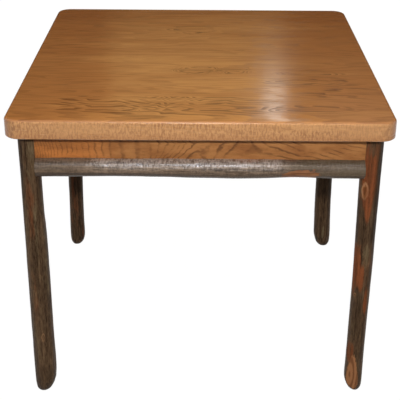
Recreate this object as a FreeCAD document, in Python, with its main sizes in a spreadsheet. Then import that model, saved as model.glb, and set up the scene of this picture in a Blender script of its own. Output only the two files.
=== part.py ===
import FreeCAD, Part
import Sketcher
import math
import os

# Rustic table: an edge-glued oak top on four hickory poles with the bark on.
# Millimetres. X runs to the right, Y to the back, Z up. The origin is on the
# floor, under the middle of the top.

os.makedirs("parts", exist_ok=True)
doc = FreeCAD.newDocument("hickory_table")
sheet = doc.addObject("Spreadsheet::Sheet", "Sizes")

# Driving dimensions: name, millimetres, what it measures
SIZES = (
    ("top_width", 864.0, "top, left to right"),
    ("top_depth", 940.0, "top, front to back"),
    ("top_thickness", 44.0, "thickness of the top boards"),
    ("table_height", 762.0, "floor to the upper face"),
    ("corner_radius", 37.0, "corners of the top, seen from above"),
    ("edge_round", 8.0, "round on the upper edge of the top"),
    ("edge_ease", 1.6, "flat broken on the lower edge of the top"),
    ("leg_inset_x", 39.0, "side edge of the top in to the leg centres"),
    ("leg_inset_y", 81.0, "front or back edge of the top in to the leg centres"),
    ("pole_front_left", 26.6, "radius of the front left leg"),
    ("pole_front_right", 23.2, "radius of the front right leg"),
    ("pole_back_left", 22.8, "radius of the back left leg"),
    ("pole_back_right", 25.8, "radius of the back right leg"),
    ("foot_height", 42.0, "whittled length of a foot"),
    ("flat_inset", 18.0, "leg centre to the flats cut for the rails"),
    ("shoulder_drop", 3.0, "from the rail down to the shoulder of the flat"),
    ("apron_height", 115.0, "depth of the oak aprons"),
    ("apron_thickness", 20.0, "thickness of the oak aprons"),
    ("apron_out_x", 4.0, "side apron face outside the leg centre"),
    ("apron_out_y", 16.0, "front apron face outside the leg centre"),
    ("tenon_length", 13.0, "stub tenon"),
    ("tenon_thickness", 8.0, "stub tenon"),
    ("tenon_lift", 8.0, "apron edge up to the tenon"),
    ("tenon_gap", 12.0, "tenon up to the hanger bolt"),
    ("tenon_inset", 4.0, "side apron face to the tenon"),
    ("tenon_back", 2.0, "front apron inner face to the tenon"),
    ("mortise_depth", 14.0, "mortise for the stub tenon"),
    ("fit", 0.2, "clearance round tenons, bolts and screws"),
    ("log_front", 22.5, "radius of the half poles at front and back"),
    ("log_side", 19.8, "radius of the half poles at the sides"),
    ("groove_width", 3.2, "clip groove in the aprons"),
    ("groove_depth", 9.0, "clip groove in the aprons"),
    ("groove_drop", 12.0, "apron edge down to the clip groove"),
    ("block_thickness", 28.0, "corner block, across the corner"),
    ("block_height", 56.0, "corner block"),
    ("block_drop", 8.0, "under the top down to the corner block"),
    ("block_gap", 9.0, "corner block to the corner of the flats"),
    ("bolt_diameter", 8.0, "hanger bolt"),
    ("bolt_in_leg", 30.0, "hanger bolt in the leg"),
    ("bolt_out", 14.0, "hanger bolt beyond the block"),
    ("nut_across", 13.0, "hanger nut across its flats"),
    ("nut_height", 6.5, "hanger nut"),
    ("washer_diameter", 18.0, "hanger washer"),
    ("washer_thickness", 1.6, "hanger washer"),
    ("screw_diameter", 4.0, "wood screw shank"),
    ("screw_head", 8.0, "wood screw head diameter"),
    ("screw_head_height", 2.6, "wood screw head"),
    ("block_screw_length", 23.0, "corner block screw under its head"),
    ("block_screw_grip", 10.0, "block wood under a block screw's head"),
    ("block_screw_spread", 30.0, "height between the screws of a block end"),
    ("log_screw_length", 33.0, "half pole screw under its head"),
    ("log_screw_pitch", 260.0, "from one half pole screw to the next"),
    ("clip_width", 20.0, "top clip, along the apron"),
    ("clip_plate", 2.0, "steel thickness of a top clip"),
    ("clip_tongue", 7.0, "top clip's tongue in the groove"),
    ("clip_stand", 2.0, "apron face to the riser of a clip"),
    ("clip_foot", 24.0, "top clip's foot under the top"),
    ("clip_screw_length", 20.0, "clip screw under its head"),
    ("clip_spread", 400.0, "between the two clips of an apron"),
    ("overrun", 30.0, "how far a cutting tool runs past the wood"),
)


class Measure:
    """A length in millimetres with the sheet formula that gives it."""

    def __init__(self, value, formula):
        self.value = value
        self.formula = formula

    def __add__(self, other):
        other = measure(other)
        return Measure(self.value + other.value, f"({self.formula} + {other.formula})")

    def __sub__(self, other):
        other = measure(other)
        return Measure(self.value - other.value, f"({self.formula} - {other.formula})")

    def __neg__(self):
        return Measure(-self.value, f"(-1 * {self.formula})")

    def __mul__(self, factor):
        return Measure(self.value * factor, f"({self.formula} * {factor:.9f})")

    def __rmul__(self, factor):
        return self * factor

    def __truediv__(self, divisor):
        return self * (1 / divisor)


def measure(length):
    """A Measure as it is, or zero as one."""
    if isinstance(length, Measure):
        return length
    return Measure(float(length), f"({float(length):.9f})")


class Dimensions:
    """Every driving dimension, read by its name."""

    def __init__(self, rows):
        for row, (name, value, note) in enumerate(rows, start=1):
            sheet.set(f"A{row}", note)
            sheet.set(f"B{row}", str(value))
            sheet.setAlias(f"B{row}", name)
            setattr(self, name, Measure(value, f"Sizes.{name}"))


S = Dimensions(SIZES)
doc.recompute()

SIDES = (-1, 1)
ROOT_HALF = math.sqrt(0.5)
UP = FreeCAD.Vector(0, 0, 1)
ALONG_X = FreeCAD.Vector(1, 0, 0)
ALONG_Y = FreeCAD.Vector(0, 1, 0)

finished = []


def bind(thing, **lengths):
    """Tie properties of an object to the sheet."""
    for name, length in lengths.items():
        thing.setExpression(name, measure(length).formula)
    return thing


def place(thing, x, y, z, rotation=None):
    """Put an object at a point that follows the sheet, turned if asked."""
    if rotation is not None:
        thing.Placement = FreeCAD.Placement(FreeCAD.Vector(0, 0, 0), rotation)
    for axis, length in zip("xyz", (x, y, z)):
        thing.setExpression(f".Placement.Base.{axis}", measure(length).formula)
    return thing


def turned(direction):
    """The turn that lays the upward axis along a direction."""
    return FreeCAD.Rotation(UP, direction)


def finish(thing, name):
    """Name a finished piece."""
    thing.Label = name
    finished.append(thing)
    return thing


def box(name, low, high):
    """A block between two corners."""
    block = doc.addObject("Part::Box", name)
    sizes = [far - near for near, far in zip(low, high)]
    bind(block, Length=sizes[0], Width=sizes[1], Height=sizes[2])
    return place(block, *low)


def rod(name, diameter, length, base, direction):
    """A cylinder from a base point along a direction."""
    cylinder = doc.addObject("Part::Cylinder", name)
    bind(cylinder, Radius=diameter / 2, Height=length)
    return place(cylinder, *base, turned(direction))


def drill(name, diameter, length, base, direction):
    """A screw hole's tool, flat-sided like the screw."""
    tool = doc.addObject("Part::Prism", name)
    tool.Polygon = SMALL_SIDES
    bind(tool, Circumradius=diameter / 2, Height=length)
    return place(tool, *base, turned(direction))


def cut(name, base, tools):
    """Take tools away from a base."""
    joined = doc.addObject("Part::MultiFuse", f"{name}_tools")
    joined.Shapes = tools
    result = doc.addObject("Part::Cut", f"{name}_cut")
    result.Base = base
    result.Tool = joined
    return result


def body_sketch(body, name, role, lift=0):
    """A sketch on one of a body's own origin planes, lifted off it."""
    sketch = body.newObject("Sketcher::SketchObject", name)
    planes = [item for item in body.Origin.OriginFeatures if item.Role == role]
    sketch.AttachmentSupport = (planes[0], [""])
    sketch.MapMode = "FlatFace"
    sketch.setExpression(".AttachmentOffset.Base.z", measure(lift).formula)
    return sketch


def outline(sketch, points):
    """A closed outline of straight lines, each corner fixed from the origin."""
    flat = [FreeCAD.Vector(across.value, along.value, 0) for across, along in points]
    count = len(points)
    first = sketch.GeometryCount
    for index in range(count):
        sketch.addGeometry(Part.LineSegment(flat[index], flat[(index + 1) % count]), False)
    for index in range(count):
        following = first + (index + 1) % count
        joint = Sketcher.Constraint("Coincident", first + index, 2, following, 1)
        sketch.addConstraint(joint)
    for index, corner in enumerate(points):
        for kind, length in zip(("DistanceX", "DistanceY"), corner):
            rule = Sketcher.Constraint(kind, -1, 1, first + index, 1, length.value)
            number = sketch.addConstraint(rule)
            sketch.setExpression(f"Constraints[{number}]", length.formula)


def rectangle(sketch, low_x, low_y, high_x, high_y):
    """A rectangle from its sides."""
    low_x, low_y, high_x, high_y = map(measure, (low_x, low_y, high_x, high_y))
    outline(sketch, ((low_x, low_y), (high_x, low_y), (high_x, high_y), (low_x, high_y)))


def circle(sketch, across, along, diameter):
    """A circle with its centre fixed from the origin."""
    across, along = measure(across), measure(along)
    centre = FreeCAD.Vector(across.value, along.value, 0)
    index = sketch.addGeometry(Part.Circle(centre, UP, diameter.value / 2), False)
    for kind, length in (("DistanceX", across), ("DistanceY", along)):
        rule = Sketcher.Constraint(kind, -1, 1, index, 3, length.value)
        number = sketch.addConstraint(rule)
        sketch.setExpression(f"Constraints[{number}]", length.formula)
    number = sketch.addConstraint(Sketcher.Constraint("Diameter", index, diameter.value))
    sketch.setExpression(f"Constraints[{number}]", diameter.formula)


def regular(sketch, across, along, diameter, sides):
    """A regular outline, its corners on a circle."""
    step = 2 * math.pi / sides
    outline(sketch, [(across + diameter * (math.cos(step * turn) / 2),
                      along + diameter * (math.sin(step * turn) / 2))
                     for turn in range(sides)])


def screw_outline(sketch, across, along, diameter):
    """The outline of a screw or of its hole."""
    regular(sketch, measure(across), measure(along), diameter, SMALL_SIDES)


def pad(body, name, sketch, length):
    """Raise a sketch by a length."""
    feature = body.newObject("PartDesign::Pad", name)
    feature.Profile = sketch
    bind(feature, Length=length)
    return feature


def pocket(body, name, sketch, depth):
    """Sink a sketch into the wood by a depth, along the sketch's own normal."""
    feature = body.newObject("PartDesign::Pocket", name)
    feature.Profile = sketch
    feature.Reversed = True
    bind(feature, Length=depth)
    return feature


def soften(body, kind, name, base, chosen):
    """A fillet or a chamfer on the edges that a test chooses."""
    doc.recompute()
    edges = [f"Edge{number}" for number, edge in enumerate(base.Shape.Edges, start=1)
             if chosen(edge)]
    feature = body.newObject(f"PartDesign::{kind}", name)
    feature.Base = (base, edges)
    return feature


# Heights and planes that several pieces share
half_width = S.top_width / 2
half_depth = S.top_depth / 2
leg_x = half_width - S.leg_inset_x
leg_y = half_depth - S.leg_inset_y
under_top = S.table_height - S.top_thickness
apron_low = under_top - S.apron_height
groove_high = under_top - S.groove_drop
flat_x = leg_x - S.flat_inset
flat_y = leg_y - S.flat_inset
face_x = leg_x + S.apron_out_x
face_y = leg_y + S.apron_out_y
inner_x = face_x - S.apron_thickness
inner_y = face_y - S.apron_thickness
screw_hole = S.screw_diameter + S.fit
block_high = under_top - S.block_drop
block_low = block_high - S.block_height
bolt_level = block_low + S.block_height / 2
tenon_low = apron_low + S.tenon_lift
tenon_high = bolt_level - S.bolt_diameter / 2 - S.tenon_gap
clip_inset = S.clip_stand + S.clip_plate + S.clip_foot / 2
CLIP_END_SHARES = (-0.5, 0.5)
LOG_SCREW_COUNT = 3

# Screws, washers and their holes are small, so they are drawn with flat sides
SMALL_SIDES = 8
WASHER_SIDES = 20


def span(sign, near, far):
    """Low and high of a stretch that lies on one side of the middle."""
    near, far = measure(near), measure(far)
    return (near, far) if sign > 0 else (-far, -near)


# Top: oak boards glued edge to edge, grain from left to right
BOARD_SHARES = (0.17, 0.155, 0.18, 0.16, 0.175, 0.16)
TOLERANCE = 0.001


def clip_spots():
    """Where each top clip stands: apron face point, turn, and its screw."""
    spots = []
    for share in CLIP_END_SHARES:
        along = S.clip_spread * share
        for sign, turn in zip(SIDES, (90, -90)):
            face = inner_y * sign
            spots.append(((along, face), turn, (along, face - clip_inset * sign)))
        for sign, turn in zip(SIDES, (0, 180)):
            face = inner_x * sign
            spots.append(((face, along), turn, (face - clip_inset * sign, along)))
    return spots


def near(value, length):
    """Whether a coordinate is at a length."""
    return abs(value - length.value) < TOLERANCE


def top_board(number, low, high):
    """One board, from its front glue line to its back one."""
    name = f"top_board_{number}"
    body = doc.addObject("PartDesign::Body", name)
    sketch = body_sketch(body, f"{name}_plan", "XY_Plane", under_top)
    rectangle(sketch, -half_width, low, half_width, high)
    shape = pad(body, f"{name}_plank", sketch, S.top_thickness)
    outer = [edge for edge in (low, high) if near(abs(edge.value), half_depth)]
    glued = [edge for edge in (low, high) if edge not in outer]

    def plan_corner(edge):
        ends = edge.Vertexes
        upright = abs(ends[0].Z - ends[-1].Z) > TOLERANCE
        return upright and any(near(ends[0].Y, side) for side in outer)

    def on_outline(level):
        def chosen(edge):
            ends = edge.Vertexes
            flat = all(near(end.Z, level) for end in ends)
            joint = any(all(near(end.Y, line) for end in ends) for line in glued)
            return flat and not joint
        return chosen

    if outer:
        shape = soften(body, "Fillet", f"{name}_corners", shape, plan_corner)
        bind(shape, Radius=S.corner_radius)
    shape = soften(body, "Fillet", f"{name}_round", shape, on_outline(S.table_height))
    bind(shape, Radius=S.edge_round)
    shape = soften(body, "Chamfer", f"{name}_ease", shape, on_outline(under_top))
    bind(shape, Size=S.edge_ease)
    room = screw_hole / 2
    holes = [screw for face, turn, screw in clip_spots()
             if (low - room).value < measure(screw[1]).value < (high + room).value]
    if holes:
        sketch = body_sketch(body, f"{name}_screws", "XY_Plane", under_top)
        for across, along in holes:
            screw_outline(sketch, across, along, screw_hole)
        pocket(body, f"{name}_pilots", sketch, S.clip_screw_length - S.clip_plate + S.fit)
    finish(body, name)


def table_top():
    """The six boards, front to back."""
    reached = 0.0
    for number, share in enumerate(BOARD_SHARES, start=1):
        low = S.top_depth * (reached - 0.5)
        reached += share
        top_board(number, low, S.top_depth * (reached - 0.5))


# Poles: hickory, never quite straight or even, so each is a skin through
# rings. A station gives a share of the length, then shares of the pole's
# radius: its own radius, and the drift of its centre.
RING_SIDES = 28


def ring(name, radius, centre, rotation):
    """One section across a pole."""
    section = doc.addObject("Part::RegularPolygon", name)
    section.Polygon = RING_SIDES
    bind(section, Circumradius=radius)
    return place(section, *centre, rotation)


def skin(name, sections):
    """The pole through its sections, straight from each to the next."""
    loft = doc.addObject("Part::Loft", name)
    loft.Sections = sections
    loft.Solid = True
    loft.Ruled = True
    return loft


FOOT_SHARES = {
    "leg_front_left": (
        (0.0, 0.52, -0.09, -0.1), (0.1, 0.66, -0.06, -0.1),
        (0.28, 0.79, 0.0, -0.1), (0.6, 0.92, 0.09, -0.1)),
    "leg_front_right": (
        (0.0, 0.36, 0.3, 0.12), (0.1, 0.54, 0.25, 0.12),
        (0.28, 0.74, 0.19, 0.13), (0.6, 0.9, 0.1, 0.14)),
    "leg_back_left": (
        (0.0, 0.54, -0.47, -0.14), (0.1, 0.7, -0.43, -0.14),
        (0.28, 0.87, -0.38, -0.14), (0.6, 0.99, -0.33, -0.14)),
    "leg_back_right": (
        (0.0, 0.52, 0.46, -0.02), (0.1, 0.67, 0.42, -0.02),
        (0.28, 0.82, 0.37, -0.02), (0.6, 0.93, 0.3, -0.02)),
}

POLE_SHARES = {
    "leg_front_left": (
        (0.0, 1.0, 0.15, -0.1), (0.06, 1.03, 0.19, -0.1),
        (0.2, 1.0, 0.17, -0.1), (0.42, 1.0, 0.18, -0.12),
        (0.6, 0.975, 0.165, -0.1), (0.69, 0.925, 0.125, -0.06),
        (0.82, 0.91, 0.115, -0.03), (1.0, 0.925, 0.11, 0.0)),
    "leg_front_right": (
        (0.0, 0.98, 0.03, 0.15), (0.07, 0.97, 0.02, 0.15),
        (0.2, 0.96, 0.03, 0.14), (0.38, 0.98, 0.06, 0.12),
        (0.5, 1.0, 0.06, 0.1), (0.63, 1.015, 0.015, 0.08),
        (0.8, 1.05, -0.005, 0.03), (1.0, 1.065, -0.005, 0.0)),
    "leg_back_left": (
        (0.0, 1.02, -0.31, -0.14), (0.07, 1.0, -0.31, -0.14),
        (0.16, 0.975, -0.28, -0.12), (0.26, 0.985, -0.25, -0.1),
        (0.42, 1.02, -0.19, -0.02), (0.6, 1.0, -0.15, 0.06),
        (0.8, 1.01, -0.11, 0.03), (1.0, 1.02, -0.09, 0.0)),
    "leg_back_right": (
        (0.0, 1.01, 0.235, -0.02), (0.07, 1.01, 0.175, 0.0),
        (0.16, 1.0, 0.135, 0.02), (0.27, 0.99, 0.115, 0.05),
        (0.42, 0.98, 0.1, 0.08), (0.6, 0.97, 0.08, 0.06),
        (0.8, 0.965, 0.055, 0.03), (1.0, 0.96, 0.04, 0.0)),
}

LOG_SHARES = (
    (0.0, 0.99, 0.0), (0.11, 1.0, 0.01), (0.24, 0.965, -0.01),
    (0.38, 0.985, 0.015), (0.52, 1.02, 0.0), (0.64, 1.035, -0.015),
    (0.75, 0.975, 0.01), (0.88, 1.0, 0.02), (1.0, 0.98, 0.0))

tenon_y = inner_y + S.tenon_back
tenon_x = face_x - S.tenon_inset - S.tenon_thickness

# The bolt runs at 45 degrees, midway between the ends of the two aprons
between_x = (flat_x + inner_x) / 2
between_y = (flat_y + inner_y) / 2
at_flats = (between_x + between_y - flat_x - flat_y) * ROOT_HALF
at_block = at_flats + S.block_gap
behind_block = at_block + S.block_thickness
bolt_length = S.bolt_in_leg + S.block_gap + S.block_thickness + S.bolt_out


def on_diagonal(side_x, side_y, back):
    """A point on a corner's bolt line, so far inward from between the aprons."""
    step = back * ROOT_HALF
    return (between_x - step) * side_x, (between_y - step) * side_y, bolt_level


def outward(side_x, side_y):
    """The direction of a corner's diagonal, towards the leg."""
    return FreeCAD.Vector(side_x, side_y, 0)


def leg(name, side_x, side_y, radius):
    """A hickory pole with a whittled foot, flats for the rails and mortises."""
    centre_x = leg_x * side_x
    centre_y = leg_y * side_y
    shank = under_top - S.foot_height
    stations = [(S.foot_height * share, rest) for share, *rest in FOOT_SHARES[name]]
    stations += [(S.foot_height + shank * share, rest) for share, *rest in POLE_SHARES[name]]
    level = FreeCAD.Rotation()
    sections = []
    for number, (height, (width, drift_x, drift_y)) in enumerate(stations, start=1):
        centre = (centre_x + radius * drift_x, centre_y + radius * drift_y, height)
        sections.append(ring(f"{name}_ring_{number}", radius * width, centre, level))
    pole = skin(f"{name}_pole", sections)

    flat_low = apron_low - S.shoulder_drop
    flat_high = under_top + S.overrun
    low_x, high_x = span(side_x, flat_x - S.overrun, flat_x)
    low_y, high_y = span(side_y, flat_y - S.overrun, flat_y)
    wide_x, wide_y = span(side_x, flat_x - S.overrun, leg_x + S.overrun), \
        span(side_y, flat_y - S.overrun, leg_y + S.overrun)
    tools = [
        box(f"{name}_flat_across", (low_x, wide_y[0], flat_low), (high_x, wide_y[1], flat_high)),
        box(f"{name}_flat_along", (wide_x[0], low_y, flat_low), (wide_x[1], high_y, flat_high)),
    ]
    sink = S.mortise_depth
    room = S.fit / 2
    for side, reach, thick in (
            ("across", span(side_x, flat_x - S.fit, flat_x + sink),
             span(side_y, tenon_y - room, tenon_y + S.tenon_thickness + room)),
            ("along", span(side_x, tenon_x - room, tenon_x + S.tenon_thickness + room),
             span(side_y, flat_y - S.fit, flat_y + sink))):
        tools.append(box(f"{name}_mortise_{side}",
                         (reach[0], thick[0], tenon_low - room),
                         (reach[1], thick[1], tenon_high + room)))
    tools.append(rod(f"{name}_bolt_hole", S.bolt_diameter + S.fit, S.bolt_in_leg + S.fit,
                     on_diagonal(side_x, side_y, at_flats), outward(side_x, side_y)))
    finish(cut(name, pole, tools), name)


def legs():
    """The four poles."""
    for name, side_x, side_y, radius in (
            ("leg_front_left", -1, -1, S.pole_front_left),
            ("leg_front_right", 1, -1, S.pole_front_right),
            ("leg_back_left", -1, 1, S.pole_back_left),
            ("leg_back_right", 1, 1, S.pole_back_right)):
        leg(name, side_x, side_y, radius)


# Rails: an oak apron with a half pole planted along its lower part
def slab(sign, near_plane, far_plane):
    """Start and thickness of a slab between two distances from the middle."""
    low, high = span(sign, near_plane, far_plane)
    return low, high - low


def apron(name, plane, sign, half_length, inner, tenon, log_radius, block_end,
          screw_level):
    """An apron board: tenons, clip groove, and holes for its screws."""
    body = doc.addObject("PartDesign::Body", name)
    lift, thickness = slab(sign, inner, inner + S.apron_thickness)
    sketch = body_sketch(body, f"{name}_face", plane, lift)
    rectangle(sketch, -half_length, apron_low, half_length, under_top)
    pad(body, f"{name}_board", sketch, thickness)

    lift, thickness = slab(sign, tenon, tenon + S.tenon_thickness)
    sketch = body_sketch(body, f"{name}_tenon_face", plane, lift)
    reach = half_length + S.tenon_length
    rectangle(sketch, -reach, tenon_low, reach, tenon_high)
    pad(body, f"{name}_tenons", sketch, thickness)

    lift, depth = slab(sign, inner, inner + S.groove_depth)
    sketch = body_sketch(body, f"{name}_groove_face", plane, lift)
    rectangle(sketch, -half_length, groove_high - S.groove_width, half_length, groove_high)
    pocket(body, f"{name}_groove", sketch, depth)

    lift, depth = slab(sign, inner, inner + S.block_screw_length - S.block_screw_grip + S.fit)
    sketch = body_sketch(body, f"{name}_block_screws", plane, lift)
    for side in SIDES:
        screw_outline(sketch, block_end * side, screw_level, screw_hole)
    pocket(body, f"{name}_block_pilots", sketch, depth)

    lift, depth = slab(sign, inner, inner + S.apron_thickness)
    sketch = body_sketch(body, f"{name}_log_screw", plane, lift)
    run = S.log_screw_pitch * (LOG_SCREW_COUNT - 1)
    screw_outline(sketch, -run / 2, apron_low + log_radius, screw_hole)
    hole = pocket(body, f"{name}_log_hole", sketch, depth)
    row = body.newObject("PartDesign::LinearPattern", f"{name}_log_holes")
    row.Originals = [hole]
    row.Direction = (sketch, ["H_Axis"])
    row.Occurrences = LOG_SCREW_COUNT
    bind(row, Length=run)
    body.Tip = row
    finish(body, name)


def log_rail(name, along, sign, half_length, face, radius):
    """A pole sawn in half lengthwise, its flat side on the apron."""
    level = apron_low + radius
    normal = UP.cross(along)
    upright = FreeCAD.Rotation(UP, along.cross(UP), along, "XYZ")
    sections = []
    for number, (share, width, drift) in enumerate(LOG_SHARES, start=1):
        run = half_length * (share * 2 - 1)
        height = level + radius * drift
        centre = (run, face * sign, height) if along == ALONG_X else (face * sign, run, height)
        sections.append(ring(f"{name}_ring_{number}", radius * width, centre, upright))
    pole = skin(f"{name}_pole", sections)
    inside = span(sign, face - S.overrun, face)
    whole = (-half_length - S.overrun, half_length + S.overrun)
    low_z, high_z = level - S.overrun, level + S.overrun
    if along == ALONG_X:
        saw = box(f"{name}_saw", (whole[0], inside[0], low_z), (whole[1], inside[1], high_z))
    else:
        saw = box(f"{name}_saw", (inside[0], whole[0], low_z), (inside[1], whole[1], high_z))
    tools = [saw]
    depth = S.log_screw_length - S.apron_thickness + S.fit
    outward_way = (ALONG_Y if along == ALONG_X else ALONG_X) * sign
    for number in range(LOG_SCREW_COUNT):
        run = S.log_screw_pitch * (number - (LOG_SCREW_COUNT - 1) / 2)
        start = (run, face * sign, level) if along == ALONG_X else (face * sign, run, level)
        tools.append(drill(f"{name}_pilot_{number + 1}", screw_hole, depth, start, outward_way))
    finish(cut(name, pole, tools), name)


sum_outer = flat_x + flat_y - S.block_gap / ROOT_HALF
sum_inner = sum_outer - S.block_thickness / ROOT_HALF
block_end_y = (sum_outer + sum_inner) / 2 - inner_x
block_end_x = (sum_outer + sum_inner) / 2 - inner_y


def rails():
    """Four aprons and their half poles."""
    for name, sign in (("front", -1), ("back", 1)):
        apron(f"apron_{name}", "XZ_Plane", -sign, flat_x, inner_y, tenon_y, S.log_front,
              block_end_x, bolt_level - S.block_screw_spread / 2)
        log_rail(f"log_rail_{name}", ALONG_X, sign, flat_x, face_y, S.log_front)
    for name, sign in (("left", -1), ("right", 1)):
        apron(f"apron_{name}", "YZ_Plane", sign, flat_y, inner_x, tenon_x, S.log_side,
              block_end_y, bolt_level + S.block_screw_spread / 2)
        log_rail(f"log_rail_{name}", ALONG_Y, sign, flat_y, face_x, S.log_side)


# Corner blocks: oak, across each inside corner
def block_screw_spots(side_x, side_y):
    """Seat and direction of a block's two screws: high to the side, low to the end."""
    rise = S.block_screw_spread / 2
    return (
        (((inner_x - S.block_screw_grip) * side_x, block_end_y * side_y, bolt_level + rise),
         ALONG_X * side_x),
        ((block_end_x * side_x, (inner_y - S.block_screw_grip) * side_y, bolt_level - rise),
         ALONG_Y * side_y))


def corner_block(name, side_x, side_y):
    """A block with splayed ends, bored for its bolt and its screws."""
    body = doc.addObject("PartDesign::Body", f"{name}_blank")
    sketch = body_sketch(body, f"{name}_plan", "XY_Plane", block_low)
    corners = ((inner_x, sum_inner - inner_x), (inner_x, sum_outer - inner_x),
               (sum_outer - inner_y, inner_y), (sum_inner - inner_y, inner_y))
    outline(sketch, [(across * side_x, along * side_y) for across, along in corners])
    pad(body, f"{name}_wood", sketch, S.block_height)
    start = on_diagonal(side_x, side_y, behind_block + S.overrun)
    tools = [rod(f"{name}_bolt_hole", S.bolt_diameter + S.fit, S.block_thickness
                 + S.overrun * 2, start, outward(side_x, side_y))]
    for number, (seat, way) in enumerate(block_screw_spots(side_x, side_y), start=1):
        tools.append(drill(f"{name}_screw_{number}", screw_hole, S.overrun, seat, way))
        tools.append(drill(f"{name}_bore_{number}", S.screw_head + S.fit, S.overrun, seat, -way))
    finish(cut(name, body, tools), name)


CORNERS = (("front_left", -1, -1), ("front_right", 1, -1),
           ("back_left", -1, 1), ("back_right", 1, 1))


# Hardware: each kind is drawn once, then set wherever it is used
NUT_SIDES = 6

# Width across the flats of a regular outline, as a share of that across its corners
NUT_FLAT_SHARE = math.cos(math.pi / NUT_SIDES)
WASHER_FLAT_SHARE = math.cos(math.pi / WASHER_SIDES)


def wood_screw(name, length):
    """A pan-head wood screw: its seat at zero, its shank upward."""
    body = doc.addObject("PartDesign::Body", name)
    for part, diameter, low, run in (
            ("head", S.screw_head, -S.screw_head_height, S.screw_head_height),
            ("shank", S.screw_diameter, 0, length)):
        sketch = body_sketch(body, f"{name}_{part}_plan", "XY_Plane", low)
        screw_outline(sketch, 0, 0, diameter)
        pad(body, f"{name}_{part}", sketch, run)
    return body


def group(name, master, places):
    """The same piece at each of its places, as one group."""
    copies = []
    for number, (spot, rotation) in enumerate(places, start=1):
        copy = doc.addObject("App::Link", f"{name}_{number}")
        copy.LinkedObject = master
        copies.append(place(copy, *spot, rotation))
    whole = doc.addObject("Part::Compound", f"{name}_group")
    whole.Links = copies
    finish(whole, name)


def hanger_hardware():
    """Bolts from the legs through the blocks, each with a washer and a nut."""
    bolt = doc.addObject("PartDesign::Body", "hanger_bolt")
    sketch = body_sketch(bolt, "bolt_plan", "XY_Plane")
    circle(sketch, 0, 0, S.bolt_diameter)
    pad(bolt, "bolt_shank", sketch, bolt_length)
    hole = (S.bolt_diameter + S.fit) / WASHER_FLAT_SHARE
    middle = measure(0)
    washer = doc.addObject("PartDesign::Body", "hanger_washer")
    sketch = body_sketch(washer, "washer_plan", "XY_Plane")
    regular(sketch, middle, middle, S.washer_diameter, WASHER_SIDES)
    regular(sketch, middle, middle, hole, WASHER_SIDES)
    pad(washer, "washer_plate", sketch, S.washer_thickness)
    nut = doc.addObject("PartDesign::Body", "hanger_nut")
    sketch = body_sketch(nut, "nut_plan", "XY_Plane")
    regular(sketch, middle, middle, S.nut_across / NUT_FLAT_SHARE, NUT_SIDES)
    regular(sketch, middle, middle, hole, WASHER_SIDES)
    pad(nut, "nut_blank", sketch, S.nut_height)
    for name, master, back in (
            ("hanger_bolts", bolt, behind_block + S.bolt_out),
            ("hanger_washers", washer, behind_block + S.washer_thickness),
            ("hanger_nuts", nut, behind_block + S.washer_thickness + S.nut_height)):
        group(name, master, [(on_diagonal(side_x, side_y, back), turned(outward(side_x, side_y)))
                             for corner, side_x, side_y in CORNERS])


def rail_screws():
    """Screws through the aprons into the half poles."""
    places = []
    for number in range(LOG_SCREW_COUNT):
        run = S.log_screw_pitch * (number - (LOG_SCREW_COUNT - 1) / 2)
        for sign in SIDES:
            places.append(((run, inner_y * sign, apron_low + S.log_front),
                           turned(ALONG_Y * sign)))
            places.append(((inner_x * sign, run, apron_low + S.log_side),
                           turned(ALONG_X * sign)))
    group("log_screws", wood_screw("log_screw", S.log_screw_length), places)


def corner_screws():
    """Screws through the ends of the corner blocks into the aprons."""
    places = []
    for corner, side_x, side_y in CORNERS:
        places += [(seat, turned(way)) for seat, way in block_screw_spots(side_x, side_y)]
    group("block_screws", wood_screw("block_screw", S.block_screw_length), places)


def top_clips():
    """Bent steel clips that hold the top to the aprons, and their screws."""
    clip = doc.addObject("PartDesign::Body", "top_clip")
    sketch = body_sketch(clip, "clip_profile", "XZ_Plane", -S.clip_width / 2)
    riser = S.clip_stand + S.clip_plate
    tongue_low = -S.groove_drop - S.clip_plate
    toe = riser + S.clip_foot
    outline(sketch, [(measure(across), measure(along)) for across, along in (
        (-S.clip_tongue, tongue_low), (riser, tongue_low), (riser, -S.clip_plate),
        (toe, -S.clip_plate), (toe, 0), (S.clip_stand, 0),
        (S.clip_stand, -S.groove_drop), (-S.clip_tongue, -S.groove_drop))])
    pad(clip, "clip_strip", sketch, S.clip_width)
    sketch = body_sketch(clip, "clip_hole_plan", "XY_Plane", -S.clip_plate)
    screw_outline(sketch, clip_inset, 0, screw_hole)
    pocket(clip, "clip_hole", sketch, S.clip_plate)
    spots = clip_spots()
    group("top_clips", clip, [((*face, under_top), FreeCAD.Rotation(UP, turn))
                              for face, turn, screw in spots])
    upward = FreeCAD.Rotation()
    group("clip_screws", wood_screw("clip_screw", S.clip_screw_length),
          [((*screw, under_top - S.clip_plate), upward) for face, turn, screw in spots])


table_top()
legs()
rails()
for corner, side_x, side_y in CORNERS:
    corner_block(f"corner_block_{corner}", side_x, side_y)
hanger_hardware()
rail_screws()
corner_screws()
top_clips()

doc.recompute()
for thing in doc.Objects:
    if "Invalid" in thing.State or "Error" in thing.State:
        raise RuntimeError(f"{thing.Name} failed: {thing.State}")
for piece in finished:
    if piece.Shape.isNull() or not piece.Shape.isValid():
        raise RuntimeError(f"{piece.Label} has no sound shape")
for piece in finished:
    piece.Shape.exportStep(f"parts/{piece.Label}.step")
    print(piece.Label, len(piece.Shape.Solids), round(piece.Shape.Volume))
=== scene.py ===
import math

import bmesh
import bpy
from mathutils import Matrix, Vector


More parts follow.
